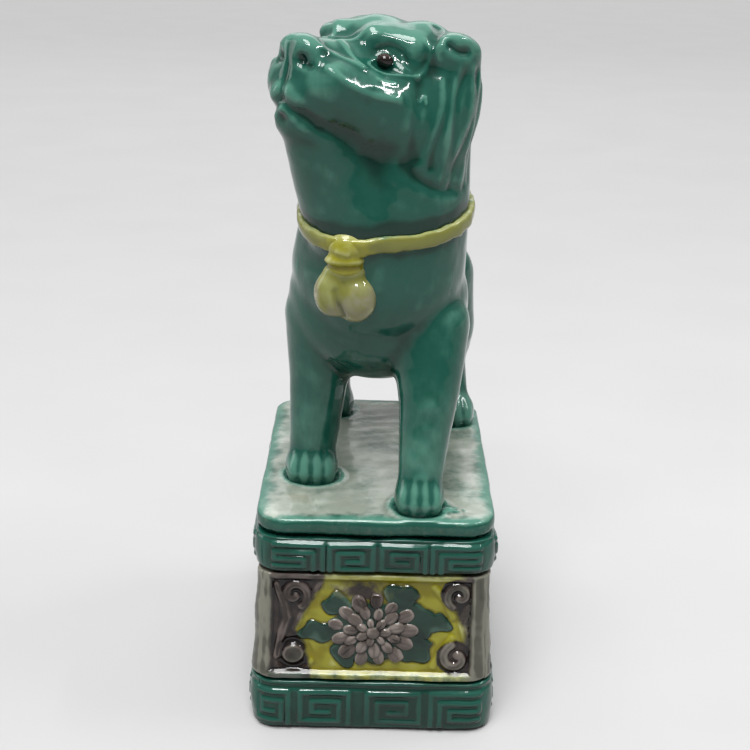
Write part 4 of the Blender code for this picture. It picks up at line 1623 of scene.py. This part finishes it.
@dataclass
class Rosette:
    """A sprigged flower with three rows of petals.

    Args:
        half: Half width and half height of the disc it is pressed from.
        rows: For each row of petals their number, reach, half sizes, height and first turn.
        centre: Height of its middle on the wall.
        fine: Cells across the disc.
        skirt: How far its edge sinks into the wall.
        proud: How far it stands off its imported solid.
    """

    half: Pair = (12.8, 11.2)
    rows: tuple[tuple[int, float, Pair, float, float], ...] = (
        (13, 9.1, (2.5, 1.85), 1.15, 0.1),
        (11, 6.0, (2.1, 1.5), 1.6, 0.35),
        (7, 3.0, (1.6, 1.15), 1.95, 0.0),
    )
    centre: float = 28.6
    fine: int = 150
    skirt: float = 0.9
    proud: float = 0.4

    def relief(self, across: Array, up: Array) -> tuple[Array, Array]:
        """Height of the petals and how much of each point is petal."""
        rise = np.full(len(across), -self.skirt)
        cover = np.zeros(len(across))
        flat = self.half[1] / self.half[0]
        for count, reach, size, top, start in self.rows:
            for index in range(count):
                angle = math.tau * (index + start) / count
                spread = 1.0 + 0.07 * math.sin(index * 2.4)
                grown = 1.0 + 0.12 * math.sin(index * 1.7 + 1.0)
                x = math.cos(angle) * reach * spread
                y = math.sin(angle) * reach * spread * flat
                here = ((across - x) * math.cos(angle) + (up - y) * math.sin(angle)) / grown
                there = ((up - y) * math.cos(angle) - (across - x) * math.sin(angle)) / grown
                span = np.clip(1.0 - (here / size[0]) ** 2 - (there / size[1]) ** 2, 0.0, None)
                petal = np.sqrt(span) * 0.9 + top - 0.9 - 0.12 * hump(there, 0.35) * span
                rise = np.where(span > 0.0, np.maximum(rise, petal), rise)
                cover = np.maximum(cover, smooth_step(0.0, 0.3, span))
        eye = np.clip(1.0 - (across**2 + up**2) / 1.7**2, 0.0, None)
        rise = np.maximum(rise, np.where(eye > 0.0, 1.5 + np.sqrt(eye) * 0.8, -self.skirt))
        return rise, np.maximum(cover, smooth_step(0.0, 0.2, eye))

    def build(self, finish: Material) -> None:
        """Press a flower on each panel.

        Args:
            finish: The glazes they share.
        """
        tilt = WALL_BATTER / WALL_RISE
        for side in Side:
            node = f"flower_{side.label}"
            ends = side in (Side.FRONT, Side.BACK)
            back = -high("flower_front").y / MM if ends else low("flower_left").x / MM
            form = bmesh.new()
            bmesh.ops.create_grid(form, x_segments=self.fine, y_segments=self.fine, size=1.0)
            flat = points_of(form)[:, :2]
            reach = np.max(np.abs(flat), axis=1)
            angle = np.arctan2(flat[:, 1], flat[:, 0])
            across, up = reach * np.cos(angle) * self.half[0], reach * np.sin(angle) * self.half[1]
            rise, cover = self.relief(across, up)
            skirt = smooth_step(0.9, 1.0, reach)
            out = back + self.proud + rise * (1.0 - skirt) - self.skirt * skirt - up * tilt
            for point, x, y, z in zip(form.verts, across, -out, up + self.centre):
                point.co = (x * MM, y * MM, z * MM)
            bmesh.ops.recalc_face_normals(form, faces=form.faces)
            for point in skirted(form):
                point.co.y += 0.8 * MM
            bmesh.ops.holes_fill(form, edges=rim_of(form), sides=0)
            bmesh.ops.recalc_face_normals(form, faces=form.faces)
            bmesh.ops.transform(form, matrix=side.turn, verts=form.verts)
            clay = Clay(to_mesh(form, "flower"))
            clay.relax(1, np.full(len(clay.spots), 0.5))
            brown = blob(across, up, (-0.5, 9.0), (5.0, 3.0)) * 0.75
            store_paint(clay.mesh, (1.0 - cover) * 0.85, brown)
            store_pool(clay, 1.8, 6, extra=0.3 * ripples(clay.spots, 5.0, 71 + len(node)) + 0.06)
            show(f"{node}_sprig", clay.mesh, finish, (node,))


def rolled(form: Form, edges: list[bmesh.types.BMEdge], radius: float, steps: int) -> None:
    """Round some edges.

    Args:
        form: The form they are on.
        edges: The edges.
        radius: Their radius in millimetres.
        steps: Faces round each.
    """
    options = {"affect": "EDGES", "profile": 0.5, "material": -1}
    bmesh.ops.bevel(form, geom=edges, offset=radius * MM, segments=steps, **options)


@dataclass
class Deck:
    """The slab the dog stands on, pale on top with green run over its rolled edges."""

    corner: float = 8.0
    edge: float = 1.3
    cell: float = 0.62
    spill: Pair = (19.5, -36.5)

    def build(self, dog: Dog) -> None:
        """Roll out the deck and pool glaze round the paws."""
        box_low, box_high = low("deck"), high("deck")
        size = box_high - box_low
        form = bmesh.new()
        place = Matrix.Translation((box_low + box_high) / 2.0) @ Matrix.Diagonal((*size, 1.0))
        bmesh.ops.create_cube(form, size=1.0, matrix=place)
        upright = [edge for edge in form.edges if abs(edge.verts[0].co.z - edge.verts[1].co.z) > MM]
        rolled(form, upright, self.corner, 10)
        level = [edge for edge in form.edges if len({face.normal.z > 0.5 for face in edge.link_faces}) == 2]
        rolled(form, level, self.edge, 4)
        clay = Clay.melted(form, self.cell * MM, 4)
        top = smooth_step(0.55, 0.9, clay.out[:, 2])
        x, y, _ = clay.spots.T / MM
        wave = ripples(clay.spots, 22.0, 4)
        lift = wave * 0.16 + ripples(clay.spots, 6.0, 14) * 0.05
        ring = np.zeros_like(x)
        near = np.full_like(x, 99.0)
        for middle, half in dog.masses.paws:
            gap = (np.hypot((x - middle[0]) / half[0], (y - middle[1]) / half[1]) - 1.0) * half[0]
            gap = gap + 0.5 * wave
            ring += hump(gap - 1.1, 1.0)
            near = np.minimum(near, gap)
        spill = hump(x - self.spill[0], 3.0) * hump(y - self.spill[1], 2.0)
        spill *= 1.0 + ripples(clay.spots, 2.4, 6)
        clay.push((lift + (ring * 0.35 + spill * 0.5 - 0.12) * top) * MM)
        edge_x = size.x / 2.0 / MM - np.abs(x)
        edge_y = size.y / 2.0 / MM - np.abs(y)
        edge = np.minimum(edge_x, edge_y)
        blend = edge + 1.1 * ripples(clay.spots, 11.0, 17) + 0.3 * ripples(clay.spots, 3.0, 18)
        green = np.maximum(smooth_step(5.6, 0.8, blend), 1.0 - top)
        green = np.maximum(green, smooth_step(3.4, 0.2, near) * 0.95)
        green = np.maximum(green, smooth_step(0.2, 0.8, spill))
        mint = smooth_step(-0.2, 1.2, ripples(clay.spots, 15.0, 27) + 0.25) * 0.42
        green = np.maximum(green, mint * top)
        stain = smooth_step(0.5, 1.5, ripples(clay.spots, 17.0, 33)) * top * 0.4
        store_paint(clay.mesh, green, stain)
        # Painted shade: the deck's upright faces get deeper, darker glaze than its top.
        front = smooth_step(0.75, 0.25, np.abs(clay.out[:, 2]))
        store_pool(clay, 0.9, 8, 0.5, 0.22 * front)
        finish = brushed(PALE, (GREEN, BISQUE), "deck glazes", 0.5)
        show("deck_slab", clay.mesh, finish, ("deck",))


@dataclass
class Studio:
    """Floor, light and camera.

    Args:
        lens: Focal length in millimetres.
        place: Where the camera is, in millimetres.
        yaw: The camera's turn to its left, in degrees.
        pitch: How far it looks down, in degrees.
        roll: How far it is tipped, in degrees.
        overhead: Range of upward direction, and the sky's brightness at both its ends.
        behind: The same for the direction away from the camera.
        ceiling_power: Strength of the light from above.
        floor_size: Half width of the floor, in metres.
    """

    lens: float = 67.2
    place: Point = (-2.2, -357.0, 211.3)
    yaw: float = -0.2
    pitch: float = 19.8
    roll: float = 1.4
    overhead: tuple[float, ...] = (0.0, 0.9, 0.12, 0.62)
    behind: tuple[float, ...] = (0.1, 0.9, 0.0, 0.3)
    ceiling_power: float = 3.0
    floor_size: float = 6.0

    def camera(self) -> None:
        """A camera a little above the dog, looking down at it."""
        camera = bpy.data.cameras.new("camera")
        camera.sensor_width = 36.0
        camera.lens = self.lens
        item = placed("camera", camera)
        yaw = Matrix.Rotation(math.radians(self.yaw), 4, "Z")
        tip = Matrix.Rotation(math.radians(90.0 - self.pitch), 4, "X")
        roll = Matrix.Rotation(math.radians(self.roll), 4, "Z")
        item.matrix_world = Matrix.Translation(Vector(self.place) * MM) @ yaw @ tip @ roll
        bpy.context.scene.camera = item

    def lamp(self, name: str, at: Point, size: Pair, power: float, look: Point) -> None:
        """A soft panel of light.

        Args:
            name: Its name.
            at: Where it hangs, in metres.
            size: Its width and height in metres.
            power: Its power in watts.
            look: The point it faces.
        """
        light = bpy.data.lights.new(name, "AREA")
        light.shape = "RECTANGLE"
        light.size, light.size_y = size
        light.energy = power
        placed(name, light).matrix_world = Matrix.Translation(at) @ shining(Vector(look) - Vector(at))

    def floor(self) -> None:
        """A wide pale floor."""
        form = bmesh.new()
        bmesh.ops.create_grid(form, x_segments=2, y_segments=2, size=self.floor_size)
        mesh = to_mesh(form, "floor")
        wiring = Wiring("floor paper")
        tone = wiring.mix(wiring.noise(60.0, 2.0), (0.38, 0.38, 0.38), (0.41, 0.41, 0.41))
        wiring.shade(Base_Color=tone, Roughness=0.8)
        mesh.materials.append(wiring.material)
        placed("floor", mesh)

    def build(self) -> None:
        """Set up the whole studio."""
        self.camera()
        self.floor()
        self.sky()
        self.ceiling()
        self.lamp("tube", (-0.06, -0.42, 0.62), (0.30, 0.011), 2.1, (0.0, -0.02, 0.12))
        self.lamp("side tube", (0.44, 0.02, 0.58), (0.34, 0.012), 1.6, (0.0, 0.0, 0.16))
        self.lamp("window", (-0.62, 0.06, 0.30), (0.30, 0.40), 0.8, (0.0, 0.0, 0.13))
        self.lamp("back wall", (0.0, 1.1, 0.8), (1.4, 0.5), 2.2, (0.0, 0.0, 0.15))
        bpy.context.scene.view_settings.view_transform = "Standard"

    def sky(self) -> None:
        """A room that is dim at eye level, and lighter overhead and behind the dog."""
        world = bpy.data.worlds.new("studio")
        world.use_nodes = True
        tree = world.node_tree
        way = tree.nodes.new("ShaderNodeTexCoord")
        parts = tree.nodes.new("ShaderNodeSeparateXYZ")
        tree.links.new(way.outputs["Generated"], parts.inputs["Vector"])
        total = tree.nodes.new("ShaderNodeMath")
        for index, (axis, limits) in enumerate((("Z", self.overhead), ("Y", self.behind))):
            level = tree.nodes.new("ShaderNodeMapRange")
            tree.links.new(parts.outputs[axis], level.inputs["Value"])
            for name, limit in zip(("From Min", "From Max", "To Min", "To Max"), limits):
                level.inputs[name].default_value = limit
            tree.links.new(level.outputs["Result"], total.inputs[index])
        background = tree.nodes["Background"]
        tree.links.new(total.outputs["Value"], background.inputs["Strength"])
        background.inputs["Color"].default_value = (1.0, 1.0, 1.0, 1.0)
        bpy.context.scene.world = world

    def ceiling(self) -> None:
        """Broad even light from above and a little in front."""
        light = bpy.data.lights.new("ceiling", "SUN")
        light.energy = self.ceiling_power
        light.angle = math.radians(30.0)
        placed("ceiling", light).matrix_world = shining(Vector((0.1, 0.28, -1.0)))


def shining(way: Vector) -> Matrix:
    """Rotation that turns a lamp to shine this way."""
    return way.to_track_quat("-Z", "Y").to_matrix().to_4x4()


def main() -> None:
    """Build every piece of the statue and its studio."""
    logging.basicConfig(level=logging.INFO, format="%(name)s: %(message)s")
    Studio().build()
    dog = Dog()
    green = GREEN.plain()
    clay = dog.build(green)
    Eyes().build(dog)
    Collar().build(clay, dog)
    Tail().build(green)
    Deck().build(dog)
    FretBand(
        "upper_band",
        (
            (Key.HOOK, -19.4, 13.4, False),
            (Key.SPIRAL, -5.9, 11.8, False),
            (Key.SPIRAL, 7.2, 11.8, True),
            (Key.HOOK, 20.6, 13.0, True),
        ),
        (45.4, 53.2),
        3.0,
    ).build(green)
    FretBand(
        "lower_band",
        (
            (Key.SPIRAL, -26.2, 10.0, True),
            (Key.SPIRAL, -12.2, 13.6, True),
            (Key.SPIRAL, 5.6, 14.6, False),
            (Key.HOOK, 22.0, 14.0, True),
        ),
        (1.8, 11.8),
        5.0,
    ).build(green)
    Wall().build(brushed(AUBERGINE, (YELLOW, LEAF, CREAM), "panel glazes", 0.34))
    Rosette().build(brushed(PETAL, (LEAF, AUBERGINE), "petal glazes", 0.25))


if __name__ == "__main__":
    main()
